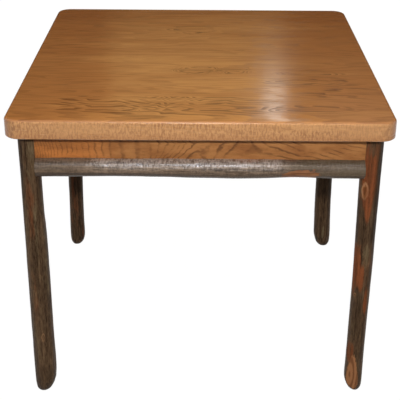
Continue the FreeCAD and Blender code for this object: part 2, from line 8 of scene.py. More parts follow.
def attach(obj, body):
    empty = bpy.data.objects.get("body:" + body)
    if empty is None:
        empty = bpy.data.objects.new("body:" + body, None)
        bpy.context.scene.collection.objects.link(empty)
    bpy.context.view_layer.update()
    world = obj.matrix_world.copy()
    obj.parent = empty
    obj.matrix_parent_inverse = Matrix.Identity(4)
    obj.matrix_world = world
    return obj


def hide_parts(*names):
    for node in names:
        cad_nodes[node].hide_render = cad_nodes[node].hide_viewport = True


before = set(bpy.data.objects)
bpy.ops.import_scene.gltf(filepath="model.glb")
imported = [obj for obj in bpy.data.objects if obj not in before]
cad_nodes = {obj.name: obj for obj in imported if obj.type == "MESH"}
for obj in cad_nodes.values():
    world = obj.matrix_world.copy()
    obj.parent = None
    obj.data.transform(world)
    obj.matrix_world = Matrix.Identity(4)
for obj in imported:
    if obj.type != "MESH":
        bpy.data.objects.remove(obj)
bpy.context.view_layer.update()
bpy.context.scene.view_settings.view_transform = "Standard"


# Camera
# Held a little over 1.5 m above the floor, about 2 m in front of the table,
# and tilted down at its top. The frame sits slightly low on the lens.
def put_in(name, data):
    """An object of its own in the scene."""
    thing = bpy.data.objects.new(name, data)
    bpy.context.collection.objects.link(thing)
    return thing


lens_data = bpy.data.cameras.new("photo_camera")
lens_data.sensor_width = 36.0
lens_data.lens = 87.0
lens_data.shift_y = -0.05
lens_data.clip_start = 0.05
lens_data.clip_end = 100.0
yaw, pitch, roll = -0.0013, 0.4331, 0.0064
aim = Vector((math.sin(yaw) * math.cos(pitch), math.cos(yaw) * math.cos(pitch), -math.sin(pitch)))
level_right = Vector((math.cos(yaw), -math.sin(yaw), 0.0))
level_up = level_right.cross(aim)
frame_right = level_right * math.cos(roll) + level_up * math.sin(roll)
frame_up = level_up * math.cos(roll) - level_right * math.sin(roll)
photo_camera = put_in("photo_camera", lens_data)
photo_camera.matrix_world = Matrix.Translation((0.0028, -2.4194, 1.5255)) @ Matrix(
    (frame_right, frame_up, -aim)).transposed().to_4x4()
bpy.context.scene.camera = photo_camera


# Top boards
# Six oak boards glued edge to edge, 44 mm thick, grain from left to right. The
# whole slab is sanded flat, its upper edge rounded over, its lower edge eased,
# then stained golden brown and given a satin clear coat.
TOP_WIDTH, TOP_DEPTH, TOP_THICKNESS, TABLE_HEIGHT = 0.864, 0.940, 0.044, 0.762
CORNER_RADIUS, EDGE_ROUND, EDGE_EASE = 0.037, 0.008, 0.0016
CORNER_STEPS, ROUND_STEPS = 20, 8
EDGE_MIDDLE, EDGE_LOW = 0.740, 0.717


def top_ring(inset, height):
    """The top's outline, drawn in by an inset, at one height."""
    half_width, half_depth = TOP_WIDTH / 2 - inset, TOP_DEPTH / 2 - inset
    radius = CORNER_RADIUS - inset
    points = []
    for quarter, (side_x, side_y) in enumerate(((1, 1), (-1, 1), (-1, -1), (1, -1))):
        for step in range(CORNER_STEPS + 1):
            angle = math.pi / 2 * (quarter + step / CORNER_STEPS)
            points.append((side_x * (half_width - radius) + radius * math.cos(angle),
                           side_y * (half_depth - radius) + radius * math.sin(angle), height))
    return points


def skin_between(shape, loops):
    """Faces from each loop to the next one, closed round."""
    for lower, upper in zip(loops, loops[1:]):
        for index in range(len(lower)):
            after = (index + 1) % len(lower)
            shape.faces.new((lower[index], lower[after], upper[after], upper[index]))


def top_slab():
    """The slab as one closed shape, from the eased edge below to the rounded one above."""
    under = TABLE_HEIGHT - TOP_THICKNESS
    rings = [(EDGE_EASE, under), (0.0, under + EDGE_EASE)]
    for step in range(ROUND_STEPS + 1):
        angle = math.pi / 2 * step / ROUND_STEPS
        rings.append((EDGE_ROUND * (1 - math.cos(angle)),
                      TABLE_HEIGHT - EDGE_ROUND + EDGE_ROUND * math.sin(angle)))
    slab = bmesh.new()
    loops = [[slab.verts.new(point) for point in top_ring(*ring)] for ring in rings]
    skin_between(slab, loops)
    slab.faces.new(loops[-1])
    slab.faces.new(list(reversed(loops[0])))
    return slab


def as_mesh(name, shape):
    """The mesh of a finished shape."""
    mesh = bpy.data.meshes.new(name)
    shape.to_mesh(mesh)
    shape.free()
    return mesh


def give_finish(mesh, material):
    """The one material of a mesh."""
    mesh.materials.clear()
    mesh.materials.append(material)


def mesh_piece(name, mesh, material, sharp_angle=math.radians(32)):
    """An object from a finished mesh, smooth except at its sharp edges."""
    mesh.name = name
    give_finish(mesh, material)
    mesh.shade_smooth()
    mesh.set_sharp_from_angle(angle=sharp_angle)
    return put_in(name, mesh)


class Reading:
    """A value that changes over a piece, and with which plain sums can be done."""

    def __init__(self, socket):
        self.socket = socket
        self.tree = socket.id_data

    def __add__(self, other):
        return sum_up("ADD", self, other)

    def __sub__(self, other):
        return sum_up("SUBTRACT", self, other)

    def __mul__(self, other):
        return sum_up("MULTIPLY", self, other)

    def __truediv__(self, other):
        return sum_up("DIVIDE", self, other)

    def __pow__(self, other):
        return sum_up("POWER", self, other)

    def __abs__(self):
        return sum_up("ABSOLUTE", self)


def fill(node, sockets):
    """A node's sockets, each set to a value or linked to a reading."""
    for key, value in sockets.items():
        if isinstance(value, Reading):
            value.tree.links.new(value.socket, node.inputs[key])
        else:
            node.inputs[key].default_value = value


def add_node(tree, kind, sockets=None, **settings):
    """A shader or geometry node: its settings, then its sockets by name or number."""
    node = tree.nodes.new(kind)
    for name, value in settings.items():
        setattr(node, name, value)
    fill(node, sockets or {})
    return node


def reading(tree, kind, sockets=None, output=0, **settings):
    """What a new node puts out."""
    return Reading(add_node(tree, kind, sockets, **settings).outputs[output])


def sum_up(operation, first, *others):
    """One step of arithmetic."""
    return reading(first.tree, "ShaderNodeMath", dict(enumerate((first, *others))), operation=operation)


def vector_sum(operation, first, second):
    """One step of arithmetic on places or directions."""
    return reading(first.tree, "ShaderNodeVectorMath", {0: first, 1: second}, operation=operation)


def distance(across, along):
    """How far a point lies from the middle of two coordinates."""
    return sum_up("SQRT", across * across + along * along)


def scaled(vector, amount):
    """A direction or a colour made longer or stronger by an amount."""
    return reading(vector.tree, "ShaderNodeVectorMath", {0: vector, 3: amount}, operation="SCALE")


def stretch(vector, scale):
    """A vector stretched by a scale for each axis."""
    return vector_sum("MULTIPLY", vector, scale)


def shifted(vector, seed):
    """A vector moved by a seed, so that two pieces don't look alike."""
    return vector_sum("ADD", vector, reading(vector.tree, "ShaderNodeCombineXYZ", {0: seed, 1: seed}))


def split(vector):
    """The parts of a vector along X, Y and Z."""
    node = add_node(vector.tree, "ShaderNodeSeparateXYZ", {0: vector})
    return [Reading(socket) for socket in node.outputs]


def noise(vector, scale, detail=3.0, roughness=0.55, distortion=0.0):
    """Soft random values over a vector, at one scale or at one for each axis."""
    if isinstance(scale, tuple):
        vector, scale = stretch(vector, scale), 1.0
    return reading(vector.tree, "ShaderNodeTexNoise", {
        "Vector": vector, "Scale": scale, "Detail": detail, "Roughness": roughness,
        "Distortion": distortion})


def ease(value, low, high, start=0.0, end=1.0):
    """A value that eases from start to end as another goes from low to high."""
    return reading(value.tree, "ShaderNodeMapRange", {0: value, 1: low, 2: high, 3: start, 4: end},
                   interpolation_type="SMOOTHSTEP")


def mix_colour(share, first, second):
    """Two colours mixed: none of the second at a share of zero, and all of it at one."""
    return reading(share.tree, "ShaderNodeMix", {0: share, 6: first, 7: second}, output=2,
                   data_type="RGBA")


def bump_of(height, strength, distance):
    """The surface tilted as a relief of this height would tilt it."""
    return reading(height.tree, "ShaderNodeBump", {
        "Height": height, "Strength": strength, "Distance": distance})


def place_on(tree):
    """The place on the piece, in metres."""
    return reading(tree, "ShaderNodeTexCoord", output="Object")


def node_group(name, kind, takes, gives):
    """An empty group. What it takes and gives is named, with a first value or a kind of socket."""
    group = bpy.data.node_groups.new(name, kind)
    for in_out, sockets in (("INPUT", takes), ("OUTPUT", gives)):
        for label, value in sockets.items():
            if isinstance(value, str):
                group.interface.new_socket(label, in_out=in_out, socket_type=f"NodeSocket{value}")
                continue
            plain = {3: "Vector", 4: "Color"}[len(value)] if isinstance(value, tuple) else "Float"
            socket = group.interface.new_socket(label, in_out=in_out, socket_type=f"NodeSocket{plain}")
            socket.default_value = value
    taken = group.nodes.new("NodeGroupInput").outputs
    return group, {socket.name: Reading(socket) for socket in taken}, group.nodes.new("NodeGroupOutput")


def spot_mask(across, along, spots):
    """Where marks lie: the centre and half size of each over two coordinates, and its strength."""
    total = across * 0.0
    for middle, height, half_width, half_height, strength in spots:
        off_across = (across - middle) / half_width
        off_along = (along - height) / half_height
        reach = off_across * off_across + off_along * off_along
        total += ease(reach, 1.5, 0.1) * strength
    return total


def oak_figure_group():
    """Solid oak: growth rings round a far heart line that runs along X, pores and rays."""
    tree, takes, gives = node_group("oak_figure", "ShaderNodeTree", {
        "Vector": (0.0, 0.0, 0.0), "Heart": (0.0, 0.0, -0.12), "Ring width": 0.009, "Wander": 0.02,
        "Ripple": 0.0, "Swirl": 0.0, "Taper": 0.0, "Seed": 0.0}, {
        "Rings": 0.0, "Pores": 0.0, "Rays": 0.0, "Tone": 0.0})
    vector, seeded = takes["Vector"], shifted(takes["Vector"], takes["Seed"])
    sway_y = noise(seeded, (2.42, 11.0, 11.0), 2.0) - 0.5
    sway_z = noise(vector_sum("ADD", seeded, (3.1, 1.7, 0.4)), (4.16, 15.6, 15.6), 3.0) - 0.5
    along = split(vector)[0]
    uneven = noise(seeded, (6.0, 9.0, 9.0), 1.0)
    ripple = sum_up("PINGPONG", along * 11.0 + uneven * 2.4, 0.5)
    parts = split(vector_sum("SUBTRACT", vector, takes["Heart"]))
    wander = takes["Wander"]
    off_y = sway_y * (wander * 3.0) + parts[1]
    off_z = sway_z * (wander * 2.4) + parts[2]
    off_z += parts[0] * takes["Taper"]
    off_y += ripple * takes["Ripple"]
    radius = distance(off_y, off_z) + takes["Swirl"]
    uneven = noise(seeded, (1.5, 27.0, 27.0), 1.0)
    count = radius / (takes["Ring width"] * ease(uneven, 0.25, 0.75, 0.9, 1.1))
    phase = sum_up("FRACT", count)
    early = ease(phase, 0.0, 0.14) * ease(phase, 0.80, 0.20)
    fine_phase = sum_up("FRACT", count * 3.0)
    fine = ease(fine_phase, 0.0, 0.2) * ease(fine_phase, 0.7, 0.25)
    broken = ease(noise(seeded, (7.0, 60.0, 60.0), 3.0, 0.6), 0.34, 0.58, 0.30, 1.0)
    rings = fine * 0.20 + early * 0.80
    fibre = noise(seeded, (22.0, 900.0, 900.0), 2.0, 0.6)
    open_pores = ease(fibre, 0.54, 0.70) * ease(early, 0.0, 0.8, 0.35, 1.0)
    rays = noise(seeded, (260.0, 300.0, 90.0), 2.0, 0.6, 0.3)
    rippled = reading(tree, "ShaderNodeCombineXYZ", {1: ripple * takes["Ripple"]})
    rippled = vector_sum("ADD", seeded, rippled)
    broad = noise(seeded, (3.2, 18.0, 18.0), 4.0)
    streaky = noise(rippled, (4.4, 44.0, 44.0), 3.0, 0.5)
    fill(gives, {"Rings": rings * broken, "Pores": open_pores, "Rays": ease(rays, 0.40, 0.62),
                 "Tone": streaky * 0.3 + broad * 0.7})
    return tree


oak_figure = oak_figure_group()


def new_material(name):
    """A material with its tree emptied, and the tree."""
    material = bpy.data.materials.new(name)
    material.use_nodes = True
    material.node_tree.nodes.clear()
    return material, material.node_tree


def close_material(tree, sockets):
    """The Principled shader of a material, wired to its output."""
    add_node(tree, "ShaderNodeOutputMaterial", {0: reading(tree, "ShaderNodeBsdfPrincipled", sockets)})


def place_group(tree, group, **sockets):
    """A shader group placed in a material with its own values."""
    sockets = {label.replace("_", " "): value for label, value in sockets.items()}
    node = add_node(tree, "ShaderNodeGroup", sockets, node_tree=group)
    return {socket.name: Reading(socket) for socket in node.outputs}


TOP_OAK_LIGHT = (0.500, 0.224, 0.066, 1.0)
TOP_OAK_DEEP = (0.300, 0.104, 0.026, 1.0)
TOP_OAK_LINE = (0.120, 0.042, 0.012, 1.0)
TOP_OAK_EDGE = (0.510, 0.272, 0.112, 1.0)
TOP_OAK_FLECK = (0.230, 0.094, 0.032, 1.0)


def top_oak(name, heart, taper, ring_width, wander, seed, tone_and_painted_shade, rippled, swirls):
    """Stained oak for one board of the top."""
    material, tree = new_material(name)
    place = place_on(tree)
    spot = split(place)
    ragged = noise(place, (10.0, 24.0, 24.0), 1.0) - 0.5
    near_x = ragged * 0.07 + spot[0]
    near_y = ragged * 0.035 + spot[1]
    swirl = spot_mask(near_x, near_y, swirls)
    ripple = spot_mask(spot[0], spot[1], rippled)
    figure = place_group(tree, oak_figure, Vector=place, Heart=heart, Ring_width=ring_width,
                         Wander=wander, Ripple=ripple, Swirl=swirl, Taper=taper, Seed=seed)
    # Painted shade: the boards turn darker towards both ends of the top, and each board's darkness, given
    # in BOARDS, grows towards the back.
    painted_end_shade = ease(abs(spot[0]), 0.14, 0.42, 0.0, 0.20)
    base = mix_colour(ease(figure["Tone"] + painted_end_shade, 0.38, 0.68, tone_and_painted_shade, tone_and_painted_shade + 0.50), TOP_OAK_LIGHT,
                      TOP_OAK_DEEP)
    facing = split(reading(tree, "ShaderNodeNewGeometry", output="Normal"))
    edge = ease(abs(facing[1]), 0.55, 0.95)
    base = mix_colour(edge * 0.85, base, TOP_OAK_EDGE)
    # Painted shade: the front and back edges darken towards their lower part.
    low = edge * ease(spot[2], EDGE_MIDDLE, EDGE_LOW, 0.0, 0.45)
    base = mix_colour(low, base, TOP_OAK_DEEP)
    uneven = ease(figure["Tone"], 0.36, 0.62, 0.30, 0.80)
    flecks = figure["Rays"] * (edge * uneven + 0.05)
    base = mix_colour(flecks, base, TOP_OAK_FLECK)
    line = figure["Rings"] * ease(edge, 0.0, 1.0, 0.82, 0.10)
    line *= ease(swirl + ripple, 0.0, 0.014, 0.46, 1.1)
    base = mix_colour(line, base, TOP_OAK_LINE)
    base = mix_colour(figure["Pores"] * 0.20, base, TOP_OAK_LINE)
    grain = figure["Pores"] * -0.8 + figure["Rings"] * -0.35
    bump = bump_of(grain, 0.10, 0.0006)
    rough = ease(facing[2], 0.97, 0.6) * 0.11 + ease(figure["Rings"], 0.0, 1.0, 0.125, 0.20)
    close_material(tree, {"Base Color": base, "Roughness": rough, "Normal": bump,
                          "Specular IOR Level": 0.5})
    return material


# Each board: share of the depth, heart line, taper, ring width, wander, seed, darkness (its own
# tone, and painted shade that grows towards the back), then the places (across, deep, half
# sizes, height) where the grain ripples and where it swirls
BOARDS = (
    (0.17, (0.0, -0.430, 0.655), 0.12, 0.0120, 0.010, 1.3, 0.06,
     ((-0.08, -0.365, 0.24, 0.085, 0.050),), ((0.25, -0.385, 0.11, 0.030, 0.026),)),
    (0.155, (0.0, -0.240, 0.620), -0.08, 0.0120, 0.018, 4.7, 0.10,
     ((0.30, -0.24, 0.10, 0.08, 0.014),), ((0.25, -0.205, 0.09, 0.026, 0.024),)),
    (0.18, (0.0, -0.080, 0.635), 0.06, 0.0110, 0.014, 9.2, 0.06, (),
     ((-0.010, -0.113, 0.055, 0.026, 0.034), (0.085, -0.116, 0.044, 0.024, 0.034),
      (0.275, -0.135, 0.085, 0.028, 0.030))),
    (0.16, (0.0, 0.075, 0.600), -0.10, 0.0130, 0.018, 12.6, 0.19, (), ()),
    (0.175, (0.0, 0.240, 0.610), 0.09, 0.0120, 0.020, 16.1, 0.28, (),
     ((-0.03, 0.24, 0.07, 0.04, 0.018),)),
    (0.16, (0.0, 0.400, 0.590), -0.07, 0.0120, 0.020, 21.8, 0.44, (), ()),
)
slab = top_slab()
front = -TOP_DEPTH / 2
for number, (share, *look) in enumerate(BOARDS, 1):
    back = front + TOP_DEPTH * share
    board = slab.copy()
    for line, keep_back in ((front, True), (back, False)):
        if abs(line) > TOP_DEPTH / 2 - 0.001:
            continue
        found = bmesh.ops.bisect_plane(
            board, geom=board.verts[:] + board.edges[:] + board.faces[:], dist=1e-7,
            plane_co=(0, line, 0), plane_no=(0, 1, 0), clear_inner=keep_back,
            clear_outer=not keep_back)
        rim = [part for part in found["geom_cut"] if isinstance(part, bmesh.types.BMEdge)]
        bmesh.ops.contextual_create(board, geom=rim)
    bmesh.ops.recalc_face_normals(board, faces=board.faces[:])
    name = f"top_board_{number}_wood"
    piece = mesh_piece(name, as_mesh(name, board), top_oak(f"top_oak_{number}", *look))
    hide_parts(f"top_board_{number}")
    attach(piece, "root")
    front = back
slab.free()


# Aprons
# Oak boards tenoned into the legs under the top, planed square and stained a
# redder brown. The front one shows ripple at its left, an arched figure in the
# middle and long dark slanting lines at its right.
APRON_OAK = (0.375, 0.168, 0.057, 1.0)
APRON_OAK_DEEP = (0.215, 0.080, 0.023, 1.0)
APRON_OAK_LINE = (0.085, 0.032, 0.012, 1.0)
APRON_OAK_RED = (0.475, 0.174, 0.045, 1.0)


def plain_apron_oak(name, turn, heart, seed):
    """Stained oak for an apron whose grain runs straight along it."""
    material, tree = new_material(name)
    place = place_on(tree)
    along = reading(tree, "ShaderNodeMapping", {0: place, 2: (0.0, 0.0, turn)})
    figure = place_group(tree, oak_figure, Vector=along, Heart=heart, Ring_width=0.0065,
                         Wander=0.02, Ripple=0.004, Seed=seed)
    base = mix_colour(ease(figure["Tone"], 0.34, 0.66), APRON_OAK, APRON_OAK_DEEP)
    base = mix_colour(figure["Rings"] * 0.7, base, APRON_OAK_LINE)
    base = mix_colour(figure["Pores"] * 0.35, base, APRON_OAK_LINE)
    bump = bump_of(figure["Pores"], 0.12, -0.0006)
    close_material(tree, {"Base Color": base, "Roughness": 0.42, "Normal": bump,
                          "Specular IOR Level": 0.22})
    return material


def curve_over(value, points):
    """A value read off a smooth curve drawn through points between 0 and 1."""
    node = add_node(value.tree, "ShaderNodeFloatCurve", {1: value})
    curve = node.mapping.curves[0]
    curve.points[0].location, curve.points[1].location = points[0], points[-1]
    for point in points[1:-1]:
        curve.points.new(*point)
    node.mapping.update()
    return Reading(node.outputs[0])


# The front apron's figure, over shares of an 0.8 m run from its left: how far its lines
# lean, as a fifth of their slope plus one, and what share of its lines is passed
APRON_MIDDLE, FRONT_LINES = 0.678, 42.0
FRONT_LEAN = ((0.0, 0.20), (0.30, 0.22), (0.42, 0.20), (0.52, 0.16), (0.56, 0.08), (0.61, 0.10),
              (0.67, 0.60), (0.80, 0.86), (1.0, 0.90))
FRONT_COUNT = ((0.0, 0.0), (0.2125, 0.471), (0.406, 0.614), (0.494, 0.726), (0.525, 0.745),
               (0.606, 0.795), (0.6625, 0.819), (1.0, 0.983))


def front_apron_oak():
    """Stained oak for the front apron, with the figure seen on its face."""
    material, tree = new_material("front_apron_oak")
    place = place_on(tree)
    spot = split(place)
    across, height = spot[0], spot[2] - APRON_MIDDLE
    slope = curve_over(across * 1.25 + 0.5, FRONT_LEAN) * 5.0 - 1.0
    arch = ease(across, -0.12, -0.075) * ease(across, 0.02, -0.015)
    bend = abs(height - 0.006) * arch
    sway = noise(place, (18.0, 2.0, 28.0), 4.0) - 0.5
    field = height * slope + across
    field += bend * 1.1
    field += sway * ease(across, -0.2, 0.1, 0.025, 0.07)
    count = curve_over(field * 1.25 + 0.5, FRONT_COUNT)
    phase = sum_up("FRACT", count * FRONT_LINES)
    wave = ease(phase, 0.0, 0.16) * ease(phase, 0.46, 0.16)
    aside = vector_sum("ADD", place, (2.0, 0.0, 0.0))
    patchy = ease(noise(aside, (14.0, 2.0, 36.0)), 0.36, 0.60)
    strength = patchy * ease(across, -0.25, -0.02, 0.55, 0.80)
    fibre = noise(place, (90.0, 200.0, 500.0), 3.0, 0.6)
    tone = noise(place, (12.0, 8.0, 40.0), 4.0)
    base = mix_colour(ease(across, -0.16, -0.28), APRON_OAK, APRON_OAK_RED)
    base = mix_colour(ease(tone, 0.38, 0.66, 0.0, 0.75), base, APRON_OAK_DEEP)
    base = mix_colour(wave * strength, base, APRON_OAK_LINE)
    base = mix_colour(ease(fibre, 0.52, 0.72, 0.0, 0.35), base, APRON_OAK_LINE)
    # Painted shade: a deep brown along the apron's top, where the top's overhang shades it.
    base = mix_colour(ease(spot[2], 0.7125, 0.7165, 0.0, 0.85), base, APRON_OAK_DEEP)
    bump = bump_of(fibre, 0.10, 0.0006)
    close_material(tree, {"Base Color": base, "Roughness": 0.42, "Normal": bump,
                          "Specular IOR Level": 0.22})
    return material


for name, material in (
        ("apron_front", front_apron_oak()),
        ("apron_back", plain_apron_oak("back_apron_oak", 0.0, (0.0, 0.36, 0.60), 31.0)),
        ("apron_left", plain_apron_oak("left_apron_oak", math.pi / 2, (0.0, -0.42, 0.62), 37.0)),
        ("apron_right", plain_apron_oak("right_apron_oak", math.pi / 2, (0.0, 0.35, 0.70), 43.0))):
    give_finish(cad_nodes[name].data, material)


# Hickory poles
# Young hickory cut with the bark on: never quite straight or round, with fine
# furrows along it, a few trimmed knots, and patches where the grey bark has
# gone and the red-brown inner bark shows. A clear coat leaves it half glossy.
FAR = 9.0  # beyond the whole table, where a flat, a facet or a knot does nothing
LEG_SQUEEZE, LOG_SQUEEZE = 0.16, 0.18  # what a pole's length shrinks to before its bark is drawn


def smooth_between(stations, at):
    """The values of a row of stations at a place between them, on a smooth curve."""
    index = 0
    while index < len(stations) - 2 and at > stations[index + 1][0]:
        index += 1
    before, start = stations[max(index - 1, 0)], stations[index]
    end, after = stations[index + 1], stations[min(index + 2, len(stations) - 1)]
    share = min(max((at - start[0]) / (end[0] - start[0]), 0.0), 1.0)
    run = end[0] - start[0]
    values = []
    for column in range(1, len(start)):
        slope_in = (end[column] - before[column]) / (end[0] - before[0]) * run
        slope_out = (after[column] - start[column]) / (after[0] - start[0]) * run
        values.append(start[column] * (2 * share**3 - 3 * share**2 + 1)
                      + slope_in * (share**3 - 2 * share**2 + share)
                      + end[column] * (3 * share**2 - 2 * share**3)
                      + slope_out * (share**3 - share**2))
    return values


def pole_skin(stations, heights, sides):
    """A closed tube of rings round upright centres: height, radius, centre x and y."""
    tube = bmesh.new()
    loops = []
    for height in heights:
        radius, middle_x, middle_y = smooth_between(stations, height)
        loops.append([tube.verts.new((middle_x + radius * math.cos(2 * math.pi * turn / sides),
                                      middle_y + radius * math.sin(2 * math.pi * turn / sides),
                                      height)) for turn in range(sides)])
    skin_between(tube, loops)
    for loop, way in ((loops[0], -1), (loops[-1], 1)):
        middle = tube.verts.new(sum((vert.co for vert in loop), Vector()) / sides)
        for turn in range(sides):
            tube.faces.new((loop[turn], loop[(turn + 1) % sides], middle)[::way])
    return as_mesh("pole_skin", tube)


def end_tree(tree, geometry, finish, gives):
    """The end of a Geometry Nodes tree: copies become real and take their finish."""
    real = reading(tree, "GeometryNodeRealizeInstances", {0: geometry})
    fill(gives, {0: reading(tree, "GeometryNodeSetMaterial", {0: real, 2: finish})})


def bark_relief_tree():
    """Geometry Nodes: lumps, furrows, wrinkles and a knot in the bark, then the flats and the
    facet that a saw or a knife leaves."""
    tree, takes, gives = node_group("bark_relief", "GeometryNodeTree", {
        "Skin": "Geometry", "Axis stretch": (1.0, 1.0, LEG_SQUEEZE), "Lump height": 0.0016,
        "Furrow depth": 0.0006, "Wrinkle stretch": (60.0, 60.0, 200.0), "Wrinkle height": 0.0,
        "Seed": 0.0, "Knot place": (FAR, FAR, FAR), "Knot size": (0.01, 0.01, 0.02),
        "Knot height": 0.0, "Flat low": (-FAR, -FAR, -FAR), "Flat high": (FAR, FAR, FAR),
        "Flats above": -FAR, "Facet place": (FAR, FAR, FAR), "Facet way": (1.0, 0.0, 0.0),
        "Bare below": -FAR, "Finish": "Material"}, {"Pole": "Geometry"})
    place = reading(tree, "GeometryNodeInputPosition")
    run = vector_sum("MULTIPLY", place, takes["Axis stretch"])
    long_run = vector_sum("MULTIPLY", run, takes["Axis stretch"])
    seeded, long_seeded = shifted(run, takes["Seed"]), shifted(long_run, takes["Seed"])
    lumps = noise(seeded, 34.0, 2.0) - 0.5
    strands = noise(long_seeded, 170.0, 3.0, 0.5, 0.3) - 0.5
    furrow = ease(abs(strands), 0.09, 0.0)
    wrinkle = noise(vector_sum("MULTIPLY", place, takes["Wrinkle stretch"]), 1.0, 2.0) - 0.5
    height = lumps * takes["Lump height"]
    height -= furrow * takes["Furrow depth"]
    height += wrinkle * takes["Wrinkle height"]
    from_knot = vector_sum("SUBTRACT", place, takes["Knot place"])
    near_knot = split(vector_sum("DIVIDE", from_knot, takes["Knot size"]))
    reach = near_knot[2] * near_knot[2] + abs(near_knot[0])
    collar = ease(reach, 1.6, 1.0) * ease(reach, 0.35, 0.85, 0.35, 1.0)
    collar *= ease(near_knot[1], 1.6, 1.2)
    height += collar * takes["Knot height"]
    height *= ease(split(place)[2] - takes["Bare below"], -0.002, 0.010)
    outward = reading(tree, "GeometryNodeInputNormal")
    barky = reading(tree, "GeometryNodeSetPosition", {
        "Geometry": takes["Skin"], "Offset": scaled(outward, height)})
    moved = reading(tree, "GeometryNodeInputPosition")
    held = vector_sum("MINIMUM", vector_sum("MAXIMUM", moved, takes["Flat low"]), takes["Flat high"])
    upper = reading(tree, "FunctionNodeCompare", {0: split(moved)[2], 1: takes["Flats above"]},
                    data_type="FLOAT", operation="GREATER_THAN")
    sawn = reading(tree, "ShaderNodeMix", {0: upper, 4: moved, 5: held}, output=1, data_type="VECTOR")
    saw_depth = reading(tree, "ShaderNodeVectorMath", {0: moved, 1: sawn}, output="Value",
                        operation="DISTANCE")
    from_facet = vector_sum("SUBTRACT", sawn, takes["Facet place"])
    beyond = reading(tree, "ShaderNodeVectorMath", {0: from_facet, 1: takes["Facet way"]},
                     output="Value", operation="DOT_PRODUCT")
    beyond = sum_up("MAXIMUM", beyond, 0.0)
    shown = sum_up("MAXIMUM", ease(saw_depth, 0.0001, 0.0008), ease(beyond, 0.0001, 0.0005))
    marked = reading(tree, "GeometryNodeStoreNamedAttribute", {
        "Geometry": barky, "Name": "bare", "Value": shown}, data_type="FLOAT", domain="POINT")
    hewn = reading(tree, "GeometryNodeSetPosition", {
        "Geometry": marked, "Position": vector_sum("SUBTRACT", sawn, scaled(takes["Facet way"], beyond))})
    end_tree(tree, hewn, takes["Finish"], gives)
    return tree


bark_relief = bark_relief_tree()


def through_nodes(mesh, group, values):
    """The mesh that a node group makes of another, with the values of its named sockets."""
    raw = put_in(group.name, mesh)
    step = raw.modifiers.new(group.name, "NODES")
    step.node_group = group
    sockets = {item.name: item.identifier for item in group.interface.items_tree
               if item.in_out == "INPUT"}
    for label, value in values.items():
        step[sockets[label]] = value
    depsgraph = bpy.context.evaluated_depsgraph_get()
    made = bpy.data.meshes.new_from_object(raw.evaluated_get(depsgraph))
    bpy.data.objects.remove(raw)
    return made


def grown(skin, name, material, values):
    """A pole skin put through the bark relief and turned into a plain piece."""
    mesh = through_nodes(skin, bark_relief, dict(values, Finish=material))
    return mesh_piece(name, mesh, material, math.radians(50))


def bark_group():
    """Hickory bark: fine strands, red inner bark in patches, and grey-green lichen."""
    tree, takes, gives = node_group("hickory_bark", "ShaderNodeTree", {
        "Vector": "Vector", "Long vector": "Vector", "Across": "Vector", "Seed": 0.0,
        "Ridge color": "Color", "Furrow color": "Color", "Inner color": "Color",
        "Lichen color": "Color", "Inner amount": 0.2, "Lichen amount": 0.2, "Strand": 0.6,
        "Wrinkle": 0.0}, {"Color": "Color", "Height": "Float", "Gloss": "Float"})
    vector = shifted(takes["Vector"], takes["Seed"])
    long_vector = shifted(takes["Long vector"], takes["Seed"])
    strands = noise(long_vector, 170.0, 3.0, 0.5, 0.3) - 0.5
    furrow = ease(abs(strands), 0.09, 0.0)
    band = noise(long_vector, 75.0, 3.0, 0.6)
    streak = noise(vector, 300.0, 4.0, 0.62, 0.3)
    fine = noise(vector, 1000.0, 3.0, 0.6)
    patch = noise(vector_sum("ADD", vector, (5.0, 2.0, 1.0)), 38.0, 4.0, 0.6)
    lichen = noise(vector_sum("ADD", vector, (1.0, 7.0, 3.0)), 34.0, 5.0, 0.65)
    wrinkle = noise(takes["Across"], 1.0, 3.0, 0.6, 0.4)
    tone = ease(band, 0.3, 0.7) * 0.55 + ease(streak, 0.3, 0.7) * 0.55
    tone -= furrow * 0.25
    tone += (wrinkle - 0.5) * takes["Wrinkle"]
    colour = mix_colour(tone, takes["Furrow color"], takes["Ridge color"])
    patch += (streak - 0.5) * 0.35
    inner = ease(patch + takes["Inner amount"], 0.56, 0.86)
    inner_tint = mix_colour(ease(strands, -0.04, 0.12, 0.0, 0.45), takes["Inner color"],
                            takes["Furrow color"])
    inner_tint = mix_colour(ease(streak, 0.45, 0.75, 0.0, 0.5), inner_tint, takes["Furrow color"])
    colour = mix_colour(inner * 0.92, colour, inner_tint)
    lichen += (streak - 0.5) * 0.3
    moss = ease(lichen + takes["Lichen amount"], 0.60, 0.90, 0.0, 0.75)
    colour = mix_colour(moss, colour, takes["Lichen color"])
    speckle = ease(fine, 0.35, 0.7, 0.84, 1.16)
    relief = streak * takes["Strand"] + fine * 0.25
    relief += wrinkle * takes["Wrinkle"]
    fill(gives, {"Color": scaled(colour, speckle), "Height": relief,
                 "Gloss": ease(inner + moss, 0.0, 1.0, 0.40, 0.55)})
    return tree


hickory_bark = bark_group()
BARK_RIDGE = (0.146, 0.089, 0.050, 1.0)
BARK_FURROW = (0.025, 0.0135, 0.0066, 1.0)
BARK_INNER = (0.228, 0.070, 0.027, 1.0)
BARK_LICHEN = (0.165, 0.127, 0.072, 1.0)
BARE_WOOD = (0.325, 0.148, 0.066, 1.0)
BARE_RING = (0.130, 0.048, 0.020, 1.0)
KNOT_PALE = (0.380, 0.200, 0.098, 1.0)
KNOT_HEART = (0.170, 0.060, 0.020, 1.0)


